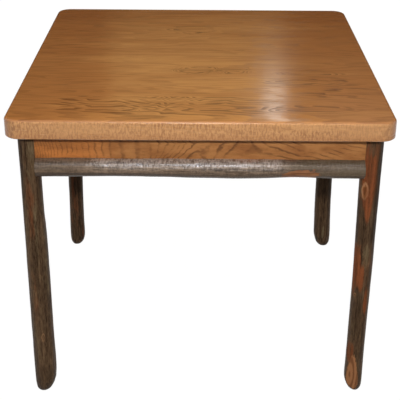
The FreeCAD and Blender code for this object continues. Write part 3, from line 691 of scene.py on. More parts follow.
def leg_bark(name, seed, heart, marks):
    """Bark for one leg, with its marks, bare flats and whittled foot."""
    material, tree = new_material(name)
    place = place_on(tree)
    parts = split(place)
    front_side = ease(parts[1], heart[1] + 0.004, heart[1] - 0.004)
    ragged = noise(place, (70.0, 70.0, 16.0), 4.0) - 0.5
    near_x = ragged * 0.010 + parts[0]
    near_z = ragged * 0.05 + parts[2]
    red, lichen, painted_shade_and_dark_bark = (spot_mask(near_x, near_z, marks.get(kind, ())) * front_side
                         for kind in ("red", "lichen", "painted_shade_and_dark_bark"))
    bark = place_group(tree, hickory_bark, Vector=stretch(place, (1.0, 1.0, LEG_SQUEEZE)),
                       Long_vector=stretch(place, (1.0, 1.0, LEG_SQUEEZE ** 2)),
                       Across=stretch(place, (300.0, 300.0, 120.0)), Seed=seed, Ridge_color=BARK_RIDGE,
                       Furrow_color=BARK_FURROW, Inner_color=BARK_INNER, Lichen_color=BARK_LICHEN,
                       Inner_amount=red + marks["inner"], Lichen_amount=lichen + marks.get("mossy", 0.04),
                       Strand=0.6, Wrinkle=0.15)
    # The dark marks take the furrow colour: partly dark bark, and partly painted shade along a leg's edge
    # and in the shadow of the front rail.
    colour = mix_colour(painted_shade_and_dark_bark * 0.7, bark["Color"], BARK_FURROW)
    rough_rim = noise(place, (260.0, 260.0, 90.0), 3.0) - 0.5
    for knot_x, knot_z, half_width, half_height, pale, brown in marks.get("knots", ()):
        off_x = abs((parts[0] - knot_x) / half_width)
        off_z = (parts[2] - knot_z) / half_height
        reach = off_z * off_z + off_x ** 1.6
        reach += rough_rim * 1.2
        heart_mask = ease(reach, 0.9, 0.4, 0.0, brown) * front_side
        colour = mix_colour(heart_mask, colour, KNOT_HEART)
        slit = ease(off_x, 0.26, 0.06, 0.0, brown) * ease(abs(off_z), 0.62, 0.35)
        colour = mix_colour(slit * front_side, colour, BARK_FURROW)
        # Painted highlight: the pale rim is strongest on the upper left of the raised collar, the side
        # that faces the light; the rest of the rim is the knot's own colour.
        rim = ease(abs(reach - 0.95), 0.62, 0.10, 0.0, pale)
        lit_side = off_z - (parts[0] - knot_x) / half_width
        rim *= ease(lit_side, -1.2, 0.6, 0.35, 1.0)
        colour = mix_colour(rim * front_side, colour, KNOT_PALE)
    reach = distance(parts[0] - heart[0], parts[1] - heart[1])
    rings = sum_up("SINE", reach * (2 * math.pi / 0.0018))
    if "oval" in marks:
        middle_x, middle_z, half_width, half_height = marks["oval"]
        off_x = (near_x - middle_x) / half_width
        off_z = (parts[2] - middle_z) / half_height
        oval = distance(off_x, off_z)
        rings = sum_up("COSINE", oval * (2.8 * math.pi))
    bare_colour = mix_colour(ease(rings, -0.5, 1.0, 0.0, 0.72), BARE_WOOD, BARE_RING)
    hewn = reading(tree, "ShaderNodeAttribute", attribute_name="bare", output="Fac")
    bare = sum_up("MAXIMUM", hewn, ease(parts[2], 0.0012, 0.0002))
    colour = mix_colour(bare, colour, bare_colour)
    bump = bump_of(bark["Height"], 0.6, 0.0014)
    close_material(tree, {"Base Color": colour, "Roughness": bark["Gloss"], "Normal": bump,
                          "Specular IOR Level": 0.06})
    return material


# Each leg: side, radius, foot stations and pole stations (share of the height, then
# shares of the radius: its own, and the drift of its centre), and the marks in its bark
# (across, up, half sizes, strength). The dark marks are partly dark bark and partly painted
# shade: along a leg's edge, under the front rail, and the front rail's shadow on the back legs.
LEG_SET_X, LEG_SET_Y, FLAT_INSET, FOOT_HEIGHT = 0.393, 0.389, 0.018, 0.042
APRON_LOW, SHOULDER_DROP, UNDER_TOP = 0.603, 0.003, 0.718
LEGS = {
    "leg_front_left": dict(
        side=(-1, -1), radius=0.0266,
        foot=((0.0, 0.52, -0.09, -0.1), (0.1, 0.66, -0.06, -0.1), (0.28, 0.79, 0.0, -0.1),
              (0.6, 0.92, 0.09, -0.1)),
        pole=((0.0, 1.0, 0.15, -0.1), (0.06, 1.03, 0.19, -0.1), (0.2, 1.0, 0.17, -0.1),
              (0.42, 1.0, 0.18, -0.12), (0.6, 0.975, 0.165, -0.1), (0.69, 0.925, 0.125, -0.06),
              (0.82, 0.91, 0.115, -0.03), (1.0, 0.925, 0.11, 0.0)),
        seed=2.0, marks=dict(
            inner=-0.03, mossy=0.10,
            red=((-0.3955, 0.52, 0.011, 0.14, 0.085), (-0.393, 0.38, 0.010, 0.12, 0.085),
                 (-0.397, 0.25, 0.007, 0.15, 0.10)),
            lichen=((-0.385, 0.66, 0.012, 0.06, 0.12), (-0.380, 0.47, 0.007, 0.10, 0.12)),
            painted_shade_and_dark_bark=((-0.372, 0.60, 0.006, 0.10, 0.5), (-0.389, 0.04, 0.03, 0.05, 0.35)),
            knots=((-0.384, 0.1683, 0.0040, 0.011, 0.4, 0.1),))),
    "leg_front_right": dict(
        side=(1, -1), radius=0.0232,
        foot=((0.0, 0.36, 0.3, 0.12), (0.1, 0.54, 0.25, 0.12), (0.28, 0.74, 0.19, 0.13),
              (0.6, 0.9, 0.1, 0.14)),
        pole=((0.0, 0.98, 0.03, 0.15), (0.07, 0.97, 0.02, 0.15), (0.2, 0.96, 0.03, 0.14),
              (0.38, 0.98, 0.06, 0.12), (0.5, 1.0, 0.06, 0.1), (0.63, 1.015, 0.015, 0.08),
              (0.8, 1.05, -0.005, 0.03), (1.0, 1.065, -0.005, 0.0)),
        seed=5.0, marks=dict(
            inner=-0.02, mossy=0.02,
            red=((0.389, 0.665, 0.018, 0.06, 0.24), (0.388, 0.580, 0.020, 0.075, 0.55),
                 (0.390, 0.520, 0.008, 0.040, 0.35), (0.376, 0.36, 0.009, 0.075, 0.42),
                 (0.388, 0.335, 0.007, 0.040, 0.30), (0.4045, 0.275, 0.005, 0.040, 0.35),
                 (0.379, 0.122, 0.011, 0.034, 0.34)),
            lichen=((0.3935, 0.393, 0.0080, 0.045, 0.24), (0.385, 0.20, 0.008, 0.03, 0.12)),
            painted_shade_and_dark_bark=((0.4120, 0.58, 0.010, 0.22, 1.1), (0.375, 0.495, 0.010, 0.06, 0.5),
                  (0.402, 0.46, 0.010, 0.035, 0.5), (0.408, 0.337, 0.008, 0.036, 0.6),
                  (0.388, 0.225, 0.013, 0.07, 0.5)),
            oval=(0.3825, 0.052, 0.0125, 0.066),
            knots=((0.380, 0.5703, 0.0062, 0.020, 0.75, 0.6), (0.3784, 0.2888, 0.0022, 0.005, 0.6, 0.3))),
        knot=((0.380, -0.405, 0.5703), (0.007, 0.012, 0.022), 0.0013),
        facet=((0.3866, -0.4052, 0.104), (-0.326, -0.9424, -0.075))),
    # The back legs' dark marks are painted shadow, cast by the front rail across their front side.
    "leg_back_left": dict(
        side=(-1, 1), radius=0.0228,
        foot=((0.0, 0.54, -0.47, -0.14), (0.1, 0.7, -0.43, -0.14), (0.28, 0.87, -0.38, -0.14),
              (0.6, 0.99, -0.33, -0.14)),
        pole=((0.0, 1.02, -0.31, -0.14), (0.07, 1.0, -0.31, -0.14), (0.16, 0.975, -0.28, -0.12),
              (0.26, 0.985, -0.25, -0.1), (0.42, 1.02, -0.19, -0.02), (0.6, 1.0, -0.15, 0.06),
              (0.8, 1.01, -0.11, 0.03), (1.0, 1.02, -0.09, 0.0)),
        seed=8.0, marks=dict(inner=-0.02, mossy=-0.02, red=((-0.398, 0.30, 0.020, 0.30, 0.14),),
                     painted_shade_and_dark_bark=((-0.393, 0.45, 0.05, 0.30, 0.7),))),
    "leg_back_right": dict(
        side=(1, 1), radius=0.0258,
        foot=((0.0, 0.52, 0.46, -0.02), (0.1, 0.67, 0.42, -0.02), (0.28, 0.82, 0.37, -0.02),
              (0.6, 0.93, 0.3, -0.02)),
        pole=((0.0, 1.01, 0.235, -0.02), (0.07, 1.01, 0.175, 0.0), (0.16, 1.0, 0.135, 0.02),
              (0.27, 0.99, 0.115, 0.05), (0.42, 0.98, 0.1, 0.08), (0.6, 0.97, 0.08, 0.06),
              (0.8, 0.965, 0.055, 0.03), (1.0, 0.96, 0.04, 0.0)),
        seed=11.0, marks=dict(
            inner=-0.06, mossy=-0.02, lichen=((0.400, 0.055, 0.004, 0.02, 0.5),),
            painted_shade_and_dark_bark=((0.393, 0.45, 0.05, 0.34, 0.7),))),
}
LEG_SIDES, LEG_STEP, SHOULDER_GAP = 84, 0.0024, 0.00002
flat_x, flat_y = LEG_SET_X - FLAT_INSET, LEG_SET_Y - FLAT_INSET
shoulder = APRON_LOW - SHOULDER_DROP
for name, leg in LEGS.items():
    side_x, side_y = leg["side"]
    middle_x, middle_y, radius = LEG_SET_X * side_x, LEG_SET_Y * side_y, leg["radius"]
    stations = [(FOOT_HEIGHT * share, *rest) for share, *rest in leg["foot"]]
    stations += [(FOOT_HEIGHT + (UNDER_TOP - FOOT_HEIGHT) * share, *rest)
                 for share, *rest in leg["pole"]]
    stations = [(height, radius * width, middle_x + radius * drift_x, middle_y + radius * drift_y)
                for height, width, drift_x, drift_y in stations]
    steps = round(shoulder / LEG_STEP)
    heights = [shoulder * step / steps for step in range(steps + 1)]
    steps = round((UNDER_TOP - shoulder) / LEG_STEP)
    heights += [shoulder + SHOULDER_GAP + (UNDER_TOP - shoulder - SHOULDER_GAP) * step / steps
                for step in range(steps + 1)]
    low, high = [-FAR] * 3, [FAR] * 3
    for axis, (side, flat) in enumerate(((side_x, flat_x), (side_y, flat_y))):
        if side > 0:
            low[axis] = flat
        else:
            high[axis] = -flat
    values = {"Lump height": 0.0020, "Furrow depth": 0.0006,
              "Wrinkle height": 0.0003, "Seed": leg["seed"], "Flat low": low, "Flat high": high,
              "Flats above": shoulder + SHOULDER_GAP / 2, "Bare below": 0.004}
    if "knot" in leg:
        values["Knot place"], values["Knot size"], values["Knot height"] = leg["knot"]
    if "facet" in leg:
        values["Facet place"], values["Facet way"] = leg["facet"]
    material = leg_bark(f"{name}_bark", leg["seed"], (stations[0][2], stations[0][3]), leg["marks"])
    piece = grown(pole_skin(stations, heights, LEG_SIDES), f"{name}_pole", material, values)
    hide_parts(name)
    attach(piece, "root")


# Half-pole rails
# Hickory poles sawn in half lengthwise and screwed flat to the lower part of
# each apron, bark outwards. The front one has a bare brown patch low down at
# its right, and thin red streaks along its upper edge.
LOG_FRONT, LOG_SIDE = 0.0225, 0.0198
LOG_TURNS, LOG_STEP = 44, 0.0019
FACE_X, FACE_Y = 0.397, 0.405
LOG_STATIONS = ((0.0, 0.97, -0.02), (0.10, 1.0, 0.01), (0.24, 0.96, -0.01), (0.38, 0.985, 0.0),
                (0.50, 1.02, -0.04), (0.61, 1.035, -0.07), (0.70, 1.0, -0.03), (0.79, 0.945, 0.035),
                (0.90, 0.99, -0.01), (1.0, 1.0, -0.04))


def half_pole_skin(half_length, radius, face, along_x, side):
    """Half a pole lying along X or Y, its sawn side flat on an apron."""
    level = APRON_LOW + radius
    steps = round(half_length * 2 / LOG_STEP)
    skin = bmesh.new()
    loops = []
    for step in range(steps + 1):
        share = step / steps
        width, drift = smooth_between(LOG_STATIONS, share)
        run = half_length * (share * 2 - 1)
        loop = []
        for turn in range(LOG_TURNS + 1):
            angle = math.pi * turn / LOG_TURNS
            out = (face + radius * width * math.sin(angle)) * side
            height = level + radius * drift - radius * width * math.cos(angle)
            loop.append(skin.verts.new((run, out, height) if along_x else (out, run, height)))
        loops.append(loop)
    for near, far in zip(loops, loops[1:]):
        for turn in range(LOG_TURNS):
            skin.faces.new((near[turn], far[turn], far[turn + 1], near[turn + 1]))
        skin.faces.new((near[0], near[-1], far[-1], far[0]))
    skin.faces.new(loops[0])
    skin.faces.new(list(reversed(loops[-1])))
    bmesh.ops.recalc_face_normals(skin, faces=skin.faces[:])
    return as_mesh("half_pole_skin", skin)


# The first colour is the pale grey of a painted sheen.
LOG_PAINTED_SHEEN = (0.540, 0.485, 0.460, 1.0)
LOG_GREY = (0.325, 0.230, 0.156, 1.0)
LOG_DARK = (0.052, 0.034, 0.023, 1.0)
LOG_RED = (0.190, 0.070, 0.030, 1.0)
LOG_OLIVE = (0.190, 0.150, 0.090, 1.0)
LOG_BARE = (0.310, 0.135, 0.055, 1.0)
LOG_BARE_DARK = (0.170, 0.065, 0.025, 1.0)


def along_pole(along_x, run, cross):
    """A measure along a half pole and one across it, put in the order of X, Y and Z."""
    return (run, cross, cross) if along_x else (cross, run, cross)


def rail_bark(name, seed, along_x, bare_spots, red_spots, lichen_spots, painted_shade_spots):
    """Bark for a half pole lying along X or Y."""
    material, tree = new_material(name)
    place = place_on(tree)
    parts = split(place)
    ragged = noise(place, (55.0, 55.0, 150.0), 5.0, 0.65) - 0.5
    near_x = ragged * 0.06 + parts[0]
    near_z = ragged * 0.016 + parts[2]
    run, long_run, across = (stretch(place, along_pole(along_x, *scale)) for scale in (
        (LOG_SQUEEZE, 1.0), (LOG_SQUEEZE ** 2, 1.0), (228.0, 95.0)))
    bark = place_group(tree, hickory_bark, Vector=run, Long_vector=long_run, Across=across, Seed=seed,
                       Ridge_color=LOG_GREY, Furrow_color=LOG_DARK, Inner_color=LOG_RED,
                       Lichen_color=LOG_OLIVE, Inner_amount=spot_mask(near_x, near_z, red_spots) - 0.08,
                       Lichen_amount=spot_mask(near_x, near_z, lichen_spots) - 0.02, Strand=0.35,
                       Wrinkle=1.0)
    bare = ease(spot_mask(near_x, near_z, bare_spots), 0.30, 0.55)
    grain = noise(place, (30.0, 300.0, 300.0), 3.0)
    bare_colour = mix_colour(ease(grain, 0.35, 0.65), LOG_BARE, LOG_BARE_DARK)
    colour = mix_colour(bare, bark["Color"], bare_colour)
    facing_up = split(reading(tree, "ShaderNodeNewGeometry", output="Normal"))[2]
    # Painted shade: the downward-facing lower half, and the dark spots near both ends of the front rail,
    # are darkened with LOG_DARK.
    under = ease(facing_up, 0.35, -0.55, 0.0, 0.80)
    painted_shade_and_dark_bark = ease(spot_mask(near_x, near_z, painted_shade_spots), 0.0, 1.0, 0.0, 0.6)
    shade = sum_up("MAXIMUM", under, painted_shade_and_dark_bark) * ease(bare, 0.0, 1.0, 1.0, 0.25)
    colour = mix_colour(shade, colour, LOG_DARK)
    # Painted sheen: the upward-facing side, most of all on the ridges, is lightened with a pale grey.
    pale = ease(facing_up, 0.10, 0.60, 0.0, 0.40) * ease(painted_shade_and_dark_bark, 0.0, 0.4, 1.0, 0.1)
    pale *= ease(bark["Height"], 0.60, 1.0, 0.2, 1.4)
    pale *= ease(bare, 0.0, 1.0, 1.0, 0.0)
    colour = mix_colour(pale, colour, LOG_PAINTED_SHEEN)
    height = bark["Height"] * ease(bare, 0.0, 1.0, 1.0, 0.25)
    bump = bump_of(height, 0.8, 0.0016)
    skin = bump_of(height, 0.7, 0.0012)
    coat = ease(facing_up, -0.10, 0.30, 0.1, 0.9) * ease(painted_shade_and_dark_bark, 0.0, 0.5, 1.0, 0.35)
    close_material(tree, {"Base Color": colour, "Roughness": 0.40, "Normal": bump,
                          "Specular IOR Level": 0.15, "Coat Weight": coat,
                          "Coat Roughness": 0.16, "Coat IOR": 1.7, "Coat Normal": skin})
    return material


# Each rail's marks: bare patches, red streaks, lichen, then spots of painted shade (across, up, half
# sizes, strength).
for name, along_x, side, half_length, face, radius, seed, marks in (
        ("log_rail_front", True, -1, flat_x, FACE_Y, LOG_FRONT, 14.0, (
            ((0.228, 0.6150, 0.040, 0.0150, 1.4), (0.250, 0.6250, 0.020, 0.0070, 0.5)),
            ((0.115, 0.6475, 0.050, 0.004, 0.36), (0.20, 0.6475, 0.04, 0.003, 0.32)),
            ((0.31, 0.632, 0.12, 0.04, 0.36), (-0.33, 0.635, 0.06, 0.02, 0.16)),
            ((0.36, 0.630, 0.18, 0.08, 1.15), (-0.38, 0.63, 0.16, 0.08, 0.75)))),
        ("log_rail_back", True, 1, flat_x, FACE_Y, LOG_FRONT, 17.0, (
            (), ((-0.1, 0.63, 0.08, 0.01, 0.3),), (), ())),
        ("log_rail_left", False, -1, flat_y, FACE_X, LOG_SIDE, 20.0, ((), (), (), ())),
        ("log_rail_right", False, 1, flat_y, FACE_X, LOG_SIDE, 23.0, ((), (), (), ()))):
    low, high = [-FAR] * 3, [FAR] * 3
    across = 1 if along_x else 0
    (low if side > 0 else high)[across] = face * side
    low[1 - across], high[1 - across] = -half_length, half_length
    piece = grown(
        half_pole_skin(half_length, radius, face, along_x, side), f"{name}_pole",
        rail_bark(f"{name}_bark", seed, along_x, *marks), {
            "Axis stretch": along_pole(along_x, LOG_SQUEEZE, 1.0),
            "Lump height": 0.0034, "Furrow depth": 0.0004,
            "Wrinkle stretch": along_pole(along_x, 210.0, 80.0), "Wrinkle height": 0.0006,
            "Seed": seed, "Flat low": low, "Flat high": high})
    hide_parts(name)
    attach(piece, "root")


# Corner blocks
# Sawn oak blocks glued and screwed across each inside corner, left rougher and
# paler than the wood that shows.
BLOCK_OAK = (0.42, 0.25, 0.12, 1.0)
BLOCK_OAK_DEEP = (0.32, 0.17, 0.08, 1.0)
BLOCK_OAK_LINE = (0.16, 0.08, 0.04, 1.0)
material, tree = new_material("block_oak")
place = place_on(tree)
figure = place_group(tree, oak_figure, Vector=place, Heart=(0.0, 0.0, 0.55), Ring_width=0.005,
                     Wander=0.01, Seed=51.0)
base = mix_colour(ease(figure["Tone"], 0.34, 0.66), BLOCK_OAK, BLOCK_OAK_DEEP)
base = mix_colour(figure["Rings"] * 0.5, base, BLOCK_OAK_LINE)
saw_marks = noise(place, (120.0, 120.0, 900.0), 2.0)
bump = bump_of(saw_marks, 0.3, 0.0006)
close_material(tree, {"Base Color": base, "Roughness": 0.62, "Normal": bump})
for corner in ("front_left", "front_right", "back_left", "back_right"):
    give_finish(cad_nodes[f"corner_block_{corner}"].data, material)


# Steel fastenings
# Zinc-plated hanger bolts hold the legs to the blocks with washers and hexagon
# nuts, bent clips hold the top, and black pan-head screws hold the rest. All are
# under the top, where only a look from below finds them.
def steel_finish(name, colour, metal, rough):
    """Plated or blackened steel, a little cloudy."""
    material, tree = new_material(name)
    place = place_on(tree)
    cloud = noise(place, 160.0, 4.0)
    darker = tuple(part * 0.72 for part in colour[:3]) + (1.0,)
    close_material(tree, {"Base Color": mix_colour(ease(cloud, 0.3, 0.7, 0.0, 0.5), colour, darker),
                          "Metallic": metal,
                          "Roughness": ease(cloud, 0.3, 0.7, rough - 0.06, rough + 0.1)})
    return material


zinc_plate = steel_finish("zinc_plate", (0.52, 0.52, 0.50, 1.0), 1.0, 0.34)
black_oxide = steel_finish("black_oxide", (0.10, 0.095, 0.09, 1.0), 0.9, 0.42)
give_finish(cad_nodes["top_clips"].data, zinc_plate)


def turned(levels, sides, outline):
    """A part turned round Z: at each level, a radius from an outline of level and angle."""
    shape = bmesh.new()
    loops = [[shape.verts.new((outline(number, angle) * math.cos(angle),
                               outline(number, angle) * math.sin(angle), level))
              for angle in (2 * math.pi * side / sides for side in range(sides))]
             for number, level in enumerate(levels)]
    skin_between(shape, loops)
    return shape, loops


def finished(name, shape):
    """The part's mesh as an object to be placed."""
    bmesh.ops.recalc_face_normals(shape, faces=shape.faces[:])
    return put_in(name, as_mesh(name, shape))


def wood_screw(name, length):
    """A pan-head wood screw with a cross recess, seated at zero with its head upwards."""
    arm, reach, recess_floor, head_top = 0.0005, 0.0017, 0.0012, 0.0026
    levels = (-length, 0.005 - length, 0.0, 0.0, 0.0008, 0.0018, 0.0024, head_top)
    radii = (0.0003, 0.0019, 0.0019, 0.0038, 0.0040, 0.0037, 0.0030, 0.0024)
    shape, loops = turned(levels, 24, lambda number, angle: radii[number])
    shape.faces.new(list(reversed(loops[0])))
    corners = ((reach, -arm), (reach, arm), (arm, arm), (arm, reach), (-arm, reach), (-arm, arm),
               (-reach, arm), (-reach, -arm), (-arm, -arm), (-arm, -reach), (arm, -reach), (arm, -arm))
    cross = [[shape.verts.new((x, y, level)) for x, y in corners] for level in (head_top, recess_floor)]
    rim = []
    for index in range(12):
        after = (index + 1) % 12
        face = shape.faces.new((cross[0][index], cross[0][after], cross[1][after], cross[1][index]))
        rim += [edge for edge in face.edges if all(vert in cross[0] for vert in edge.verts)]
    shape.faces.new(cross[1])
    rim += [edge for edge in shape.edges if all(vert in loops[-1] for vert in edge.verts)]
    bmesh.ops.triangle_fill(shape, edges=rim, use_beauty=True)
    return finished(name, shape)


BOLT_RADIUS, BOLT_IN, BOLT_OUT = 0.004, 0.067, 0.014
THREAD_RUN, THREAD_PITCH, THREAD_DEPTH = 0.026, 0.00125, 0.00055
NUT_LOW, NUT_HIGH, NUT_ACROSS = 0.0016, 0.0081, 0.013
WASHER_RADIUS, BORE = 0.009, 0.0041


def hanger_bolt():
    """The bolt's end is threaded for its nut, and the rest is plain."""
    steps = round(THREAD_RUN / THREAD_PITCH * 6)
    levels = [-BOLT_IN, -BOLT_IN + 0.004]
    levels += [BOLT_OUT - THREAD_RUN + THREAD_RUN * step / steps for step in range(steps + 1)]

    def outline(number, angle):
        if number == 0:
            return BOLT_RADIUS * 0.4
        if number == 1:
            return BOLT_RADIUS * 0.94
        from_end = BOLT_OUT - levels[number]
        turn = (levels[number] / THREAD_PITCH - angle / (2 * math.pi)) % 1.0
        depth = THREAD_DEPTH * abs(turn * 2 - 1)
        return BOLT_RADIUS - max(depth, 0.0007 - from_end, 0.0)

    shape, loops = turned(levels, 24, outline)
    shape.faces.new(list(reversed(loops[0])))
    shape.faces.new(loops[-1])
    return finished("hanger_bolt", shape)


def bored(name, levels, sides, outline):
    """A turned part with a plain bore through it."""
    shape, loops = turned(levels, sides, outline)
    bore = [[shape.verts.new((BORE * math.cos(2 * math.pi * side / sides),
                              BORE * math.sin(2 * math.pi * side / sides), level))
             for side in range(sides)] for level in (levels[0], levels[-1])]
    for side in range(sides):
        after = (side + 1) % sides
        shape.faces.new((loops[0][side], bore[0][side], bore[0][after], loops[0][after]))
        shape.faces.new((loops[-1][side], loops[-1][after], bore[1][after], bore[1][side]))
        shape.faces.new((bore[0][side], bore[1][side], bore[1][after], bore[0][after]))
    return finished(name, shape)


def nut_outline(number, angle):
    """A hexagon whose corners are turned off at both ends."""
    flat = NUT_ACROSS / 2 / math.cos((angle + math.pi / 6) % (math.pi / 3) - math.pi / 6)
    return min(flat, NUT_ACROSS / 2 * (0.97, 1.05, 1.16, 1.16, 1.05, 0.97)[number])


def fastening_tree():
    """Geometry Nodes: one fastening copied to each place, its Z axis turned to face a way."""
    tree, takes, gives = node_group("fastenings", "GeometryNodeTree", {
        "Places": "Geometry", "Part": "Object", "Finish": "Material"}, {"Fastenings": "Geometry"})
    part = reading(tree, "GeometryNodeObjectInfo", {0: takes["Part"]}, output="Geometry")
    way = reading(tree, "GeometryNodeInputNamedAttribute", {0: "way"}, data_type="FLOAT_VECTOR")
    turn = reading(tree, "FunctionNodeAlignRotationToVector", {"Vector": way}, axis="Z")
    copies = reading(tree, "GeometryNodeInstanceOnPoints", {
        "Points": takes["Places"], "Instance": part, "Rotation": turn})
    end_tree(tree, copies, takes["Finish"], gives)
    return tree


fastenings = fastening_tree()


def fasten(node, part, material, places):
    """Copies of a fastening at its places, each with the way that it faces."""
    mesh = bpy.data.meshes.new(f"{node}_places")
    mesh.from_pydata([spot for spot, way in places], [], [])
    ways = mesh.attributes.new("way", "FLOAT_VECTOR", "POINT")
    for row, (spot, way) in zip(ways.data, places):
        row.vector = way
    made = through_nodes(mesh, fastenings, {"Part": part, "Finish": material})
    bpy.data.objects.remove(part)
    made.attributes.remove(made.attributes["way"])
    piece = mesh_piece(f"{node}_steel", made, material)
    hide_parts(node)
    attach(piece, "root")


# Where the holes in the solids seat the fastenings: across, deep and up from the middle of the
# floor, in the back right corner. The screws of a half pole sit at three places along it.
HANGER_SEAT = (0.34584, 0.34784, 0.682)
SEAT_ACROSS_BLOCK, SEAT_ALONG_BLOCK = (0.367, 0.33647, 0.697), (0.32847, 0.375, 0.667)
LONG_CLIP_SEAT, SIDE_CLIP_SEAT = (0.2, 0.369, 0.716), (0.361, 0.2, 0.716)
LOG_RUNS, LONG_LOG_SEAT, SIDE_LOG_SEAT = (-0.26, 0, 0.26), (0.385, 0.6255), (0.377, 0.6228)


def at_corners(seat, way):
    """A seat and the way it faces, mirrored to all four corners."""
    return [((seat[0] * x, seat[1] * y, seat[2]), (way[0] * x, way[1] * y, way[2]))
            for x, y in ((-1, -1), (1, -1), (-1, 1), (1, 1))]


hanger_seats = at_corners(HANGER_SEAT, (-1, -1, 0))
fasten("hanger_bolts", hanger_bolt(), zinc_plate, hanger_seats)
washer = bored("hanger_washer", (0.0, 0.0003, 0.0013, NUT_LOW), 40,
               lambda number, angle: WASHER_RADIUS - (0.0002, 0, 0, 0.0003)[number])
fasten("hanger_washers", washer, zinc_plate, hanger_seats)
nut = bored("hanger_nut", (NUT_LOW, 0.0019, 0.0025, 0.0072, 0.0078, NUT_HIGH), 48, nut_outline)
fasten("hanger_nuts", nut, zinc_plate, hanger_seats)
log_seats = [((run, -LONG_LOG_SEAT[0] * side, LONG_LOG_SEAT[1]), (0, side, 0))
             for side in (1, -1) for run in LOG_RUNS]
log_seats += [((-SIDE_LOG_SEAT[0] * side, run, SIDE_LOG_SEAT[1]), (side, 0, 0))
              for side in (1, -1) for run in LOG_RUNS]
fasten("log_screws", wood_screw("log_screw", 0.033), black_oxide, log_seats)
block_seats = at_corners(SEAT_ACROSS_BLOCK, (-1, 0, 0)) + at_corners(SEAT_ALONG_BLOCK, (0, -1, 0))
fasten("block_screws", wood_screw("block_screw", 0.023), black_oxide, block_seats)
clip_seats = at_corners(LONG_CLIP_SEAT, (0, 0, -1)) + at_corners(SIDE_CLIP_SEAT, (0, 0, -1))
fasten("clip_screws", wood_screw("clip_screw", 0.020), black_oxide, clip_seats)


# Studio
# A white floor, a soft ceiling light, a lamp beside the camera and weak fills
# round the table. Two cards out of the camera's sight stand for the room that
# the clear coat mirrors: a dim wall with one bright strip, and a high window.
FLOOR_HALF, WHITE = 12.0, (1.0, 1.0, 1.0, 1.0)
floor_mesh = bpy.data.meshes.new("floor")
floor_mesh.from_pydata([(-FLOOR_HALF, -FLOOR_HALF, 0.0), (FLOOR_HALF, -FLOOR_HALF, 0.0),
                        (FLOOR_HALF, FLOOR_HALF, 0.0), (-FLOOR_HALF, FLOOR_HALF, 0.0)], [],
                       [(0, 1, 2, 3)])
material, tree = new_material("white_floor")


def seen_or_mirrored(tree):
    """One where the camera looks at a surface straight, in a mirror or through glass."""
    node = add_node(tree, "ShaderNodeLightPath")
    straight, mirrored, through = (Reading(node.outputs[f"Is {kind} Ray"])
                                   for kind in ("Camera", "Glossy", "Transmission"))
    return sum_up("MAXIMUM", sum_up("MAXIMUM", straight, mirrored), through)


paint = reading(tree, "ShaderNodeBsdfDiffuse", {0: (0.28, 0.26, 0.235, 1.0)})
glow = reading(tree, "ShaderNodeEmission", {0: WHITE, 1: 1.20})
joined = reading(tree, "ShaderNodeMixShader", {0: seen_or_mirrored(tree) * 0.82, 1: paint, 2: glow})
add_node(tree, "ShaderNodeOutputMaterial", {0: joined})
floor_mesh.materials.append(material)
put_in("floor", floor_mesh)


def mirrored_card(name, low, high, paint_it):
    """An upright glowing card that only shiny surfaces show, coloured by its own function."""
    mesh = bpy.data.meshes.new(name)
    mesh.from_pydata([low, (high[0], low[1], low[2]), high, (low[0], low[1], high[2])], [], [(0, 1, 2, 3)])
    card = put_in(name, mesh)
    card.visible_camera = card.visible_diffuse = card.visible_shadow = False
    material, tree = new_material(f"{name}_glow")
    parts = split(place_on(tree))
    glow = reading(tree, "ShaderNodeEmission", {0: paint_it(parts[0], parts[2])})
    add_node(tree, "ShaderNodeOutputMaterial", {0: glow})
    mesh.materials.append(material)


def band(value, low, high, soft):
    """One between two bounds and nothing beyond them."""
    return ease(value, low, low + soft) * ease(value, high, high - soft)


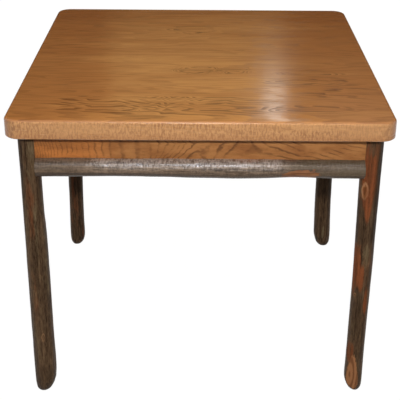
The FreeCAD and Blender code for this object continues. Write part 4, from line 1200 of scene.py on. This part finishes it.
def room_colours(across, up):
    """A dim warm room: a lighter middle, a paler right side and one tall bright strip."""
    middle = band(across, -0.72, 0.62, 0.12) * ease(up, 1.6, 2.1, 0.15, 1.0)
    shade = mix_colour(middle, (0.06, 0.036, 0.022, 1.0), (0.50, 0.34, 0.14, 1.0))
    right = ease(across, 0.72, 1.0) * ease(up, 1.9, 2.4)
    shade = mix_colour(right, shade, (0.30, 0.27, 0.22, 1.0))
    strip = band(across, 0.45, 0.63, 0.03) * ease(up, 1.90, 2.28)
    return mix_colour(strip, shade, (2.40, 2.60, 2.50, 1.0))


def window_colours(across, up):
    """A bright window high behind the camera."""
    pane = band(across, -0.46, 0.42, 0.32) * band(up, 2.4, 5.3, 0.9)
    return mix_colour(pane, (0.0, 0.0, 0.0, 1.0), (21.0, 22.0, 24.0, 1.0))


mirrored_card("room_card", (-5.0, 3.6, 0.4), (5.0, 3.6, 6.0), room_colours)
mirrored_card("window_card", (-0.5, -2.6, 2.3), (0.5, -2.6, 5.4), window_colours)

world = bpy.data.worlds.new("studio")
world.use_nodes = True
bpy.context.scene.world = world
tree = world.node_tree
tree.nodes.clear()
dim = reading(tree, "ShaderNodeBackground", {0: (1.0, 0.94, 0.86, 1.0), 1: 0.14})
white = reading(tree, "ShaderNodeBackground", {0: WHITE, 1: 1.0})
joined = reading(tree, "ShaderNodeMixShader", {0: seen_or_mirrored(tree), 1: dim, 2: white})
add_node(tree, "ShaderNodeOutputWorld", {0: joined})


def lamp(name, place, target, size_x, size_y, power, colour):
    """A rectangular lamp aimed at a point, which neither the camera nor a shiny surface shows."""
    light = bpy.data.lights.new(name, "AREA")
    light.shape = "RECTANGLE"
    light.size, light.size_y, light.energy, light.color = size_x, size_y, power, colour
    thing = put_in(name, light)
    thing.location = place
    thing.rotation_euler = (Vector(target) - Vector(place)).to_track_quat("-Z", "Y").to_euler()
    thing.visible_camera = thing.visible_glossy = False


WARM_LIGHT = (1.0, 0.97, 0.93)
lamp("lamp_by_camera", (0.06, -2.42, 1.70), (0.0, 0.0, 0.6), 0.16, 0.08, 45.0, WARM_LIGHT)
lamp("soft_ceiling", (0.0, -0.8, 3.4), (0.0, -0.2, 0.0), 2.6, 2.6, 46.0, (1.0, 0.96, 0.90))
for name, place, power in (("back_fill", (0.0, 4.2, 1.6), 60.0), ("left_fill", (-4.2, 0.6, 1.4), 14.0),
                           ("right_fill", (4.2, 0.6, 1.4), 14.0)):
    lamp(name, place, (0.0, 0.0, 0.5), 3.0, 1.6, power, WARM_LIGHT)
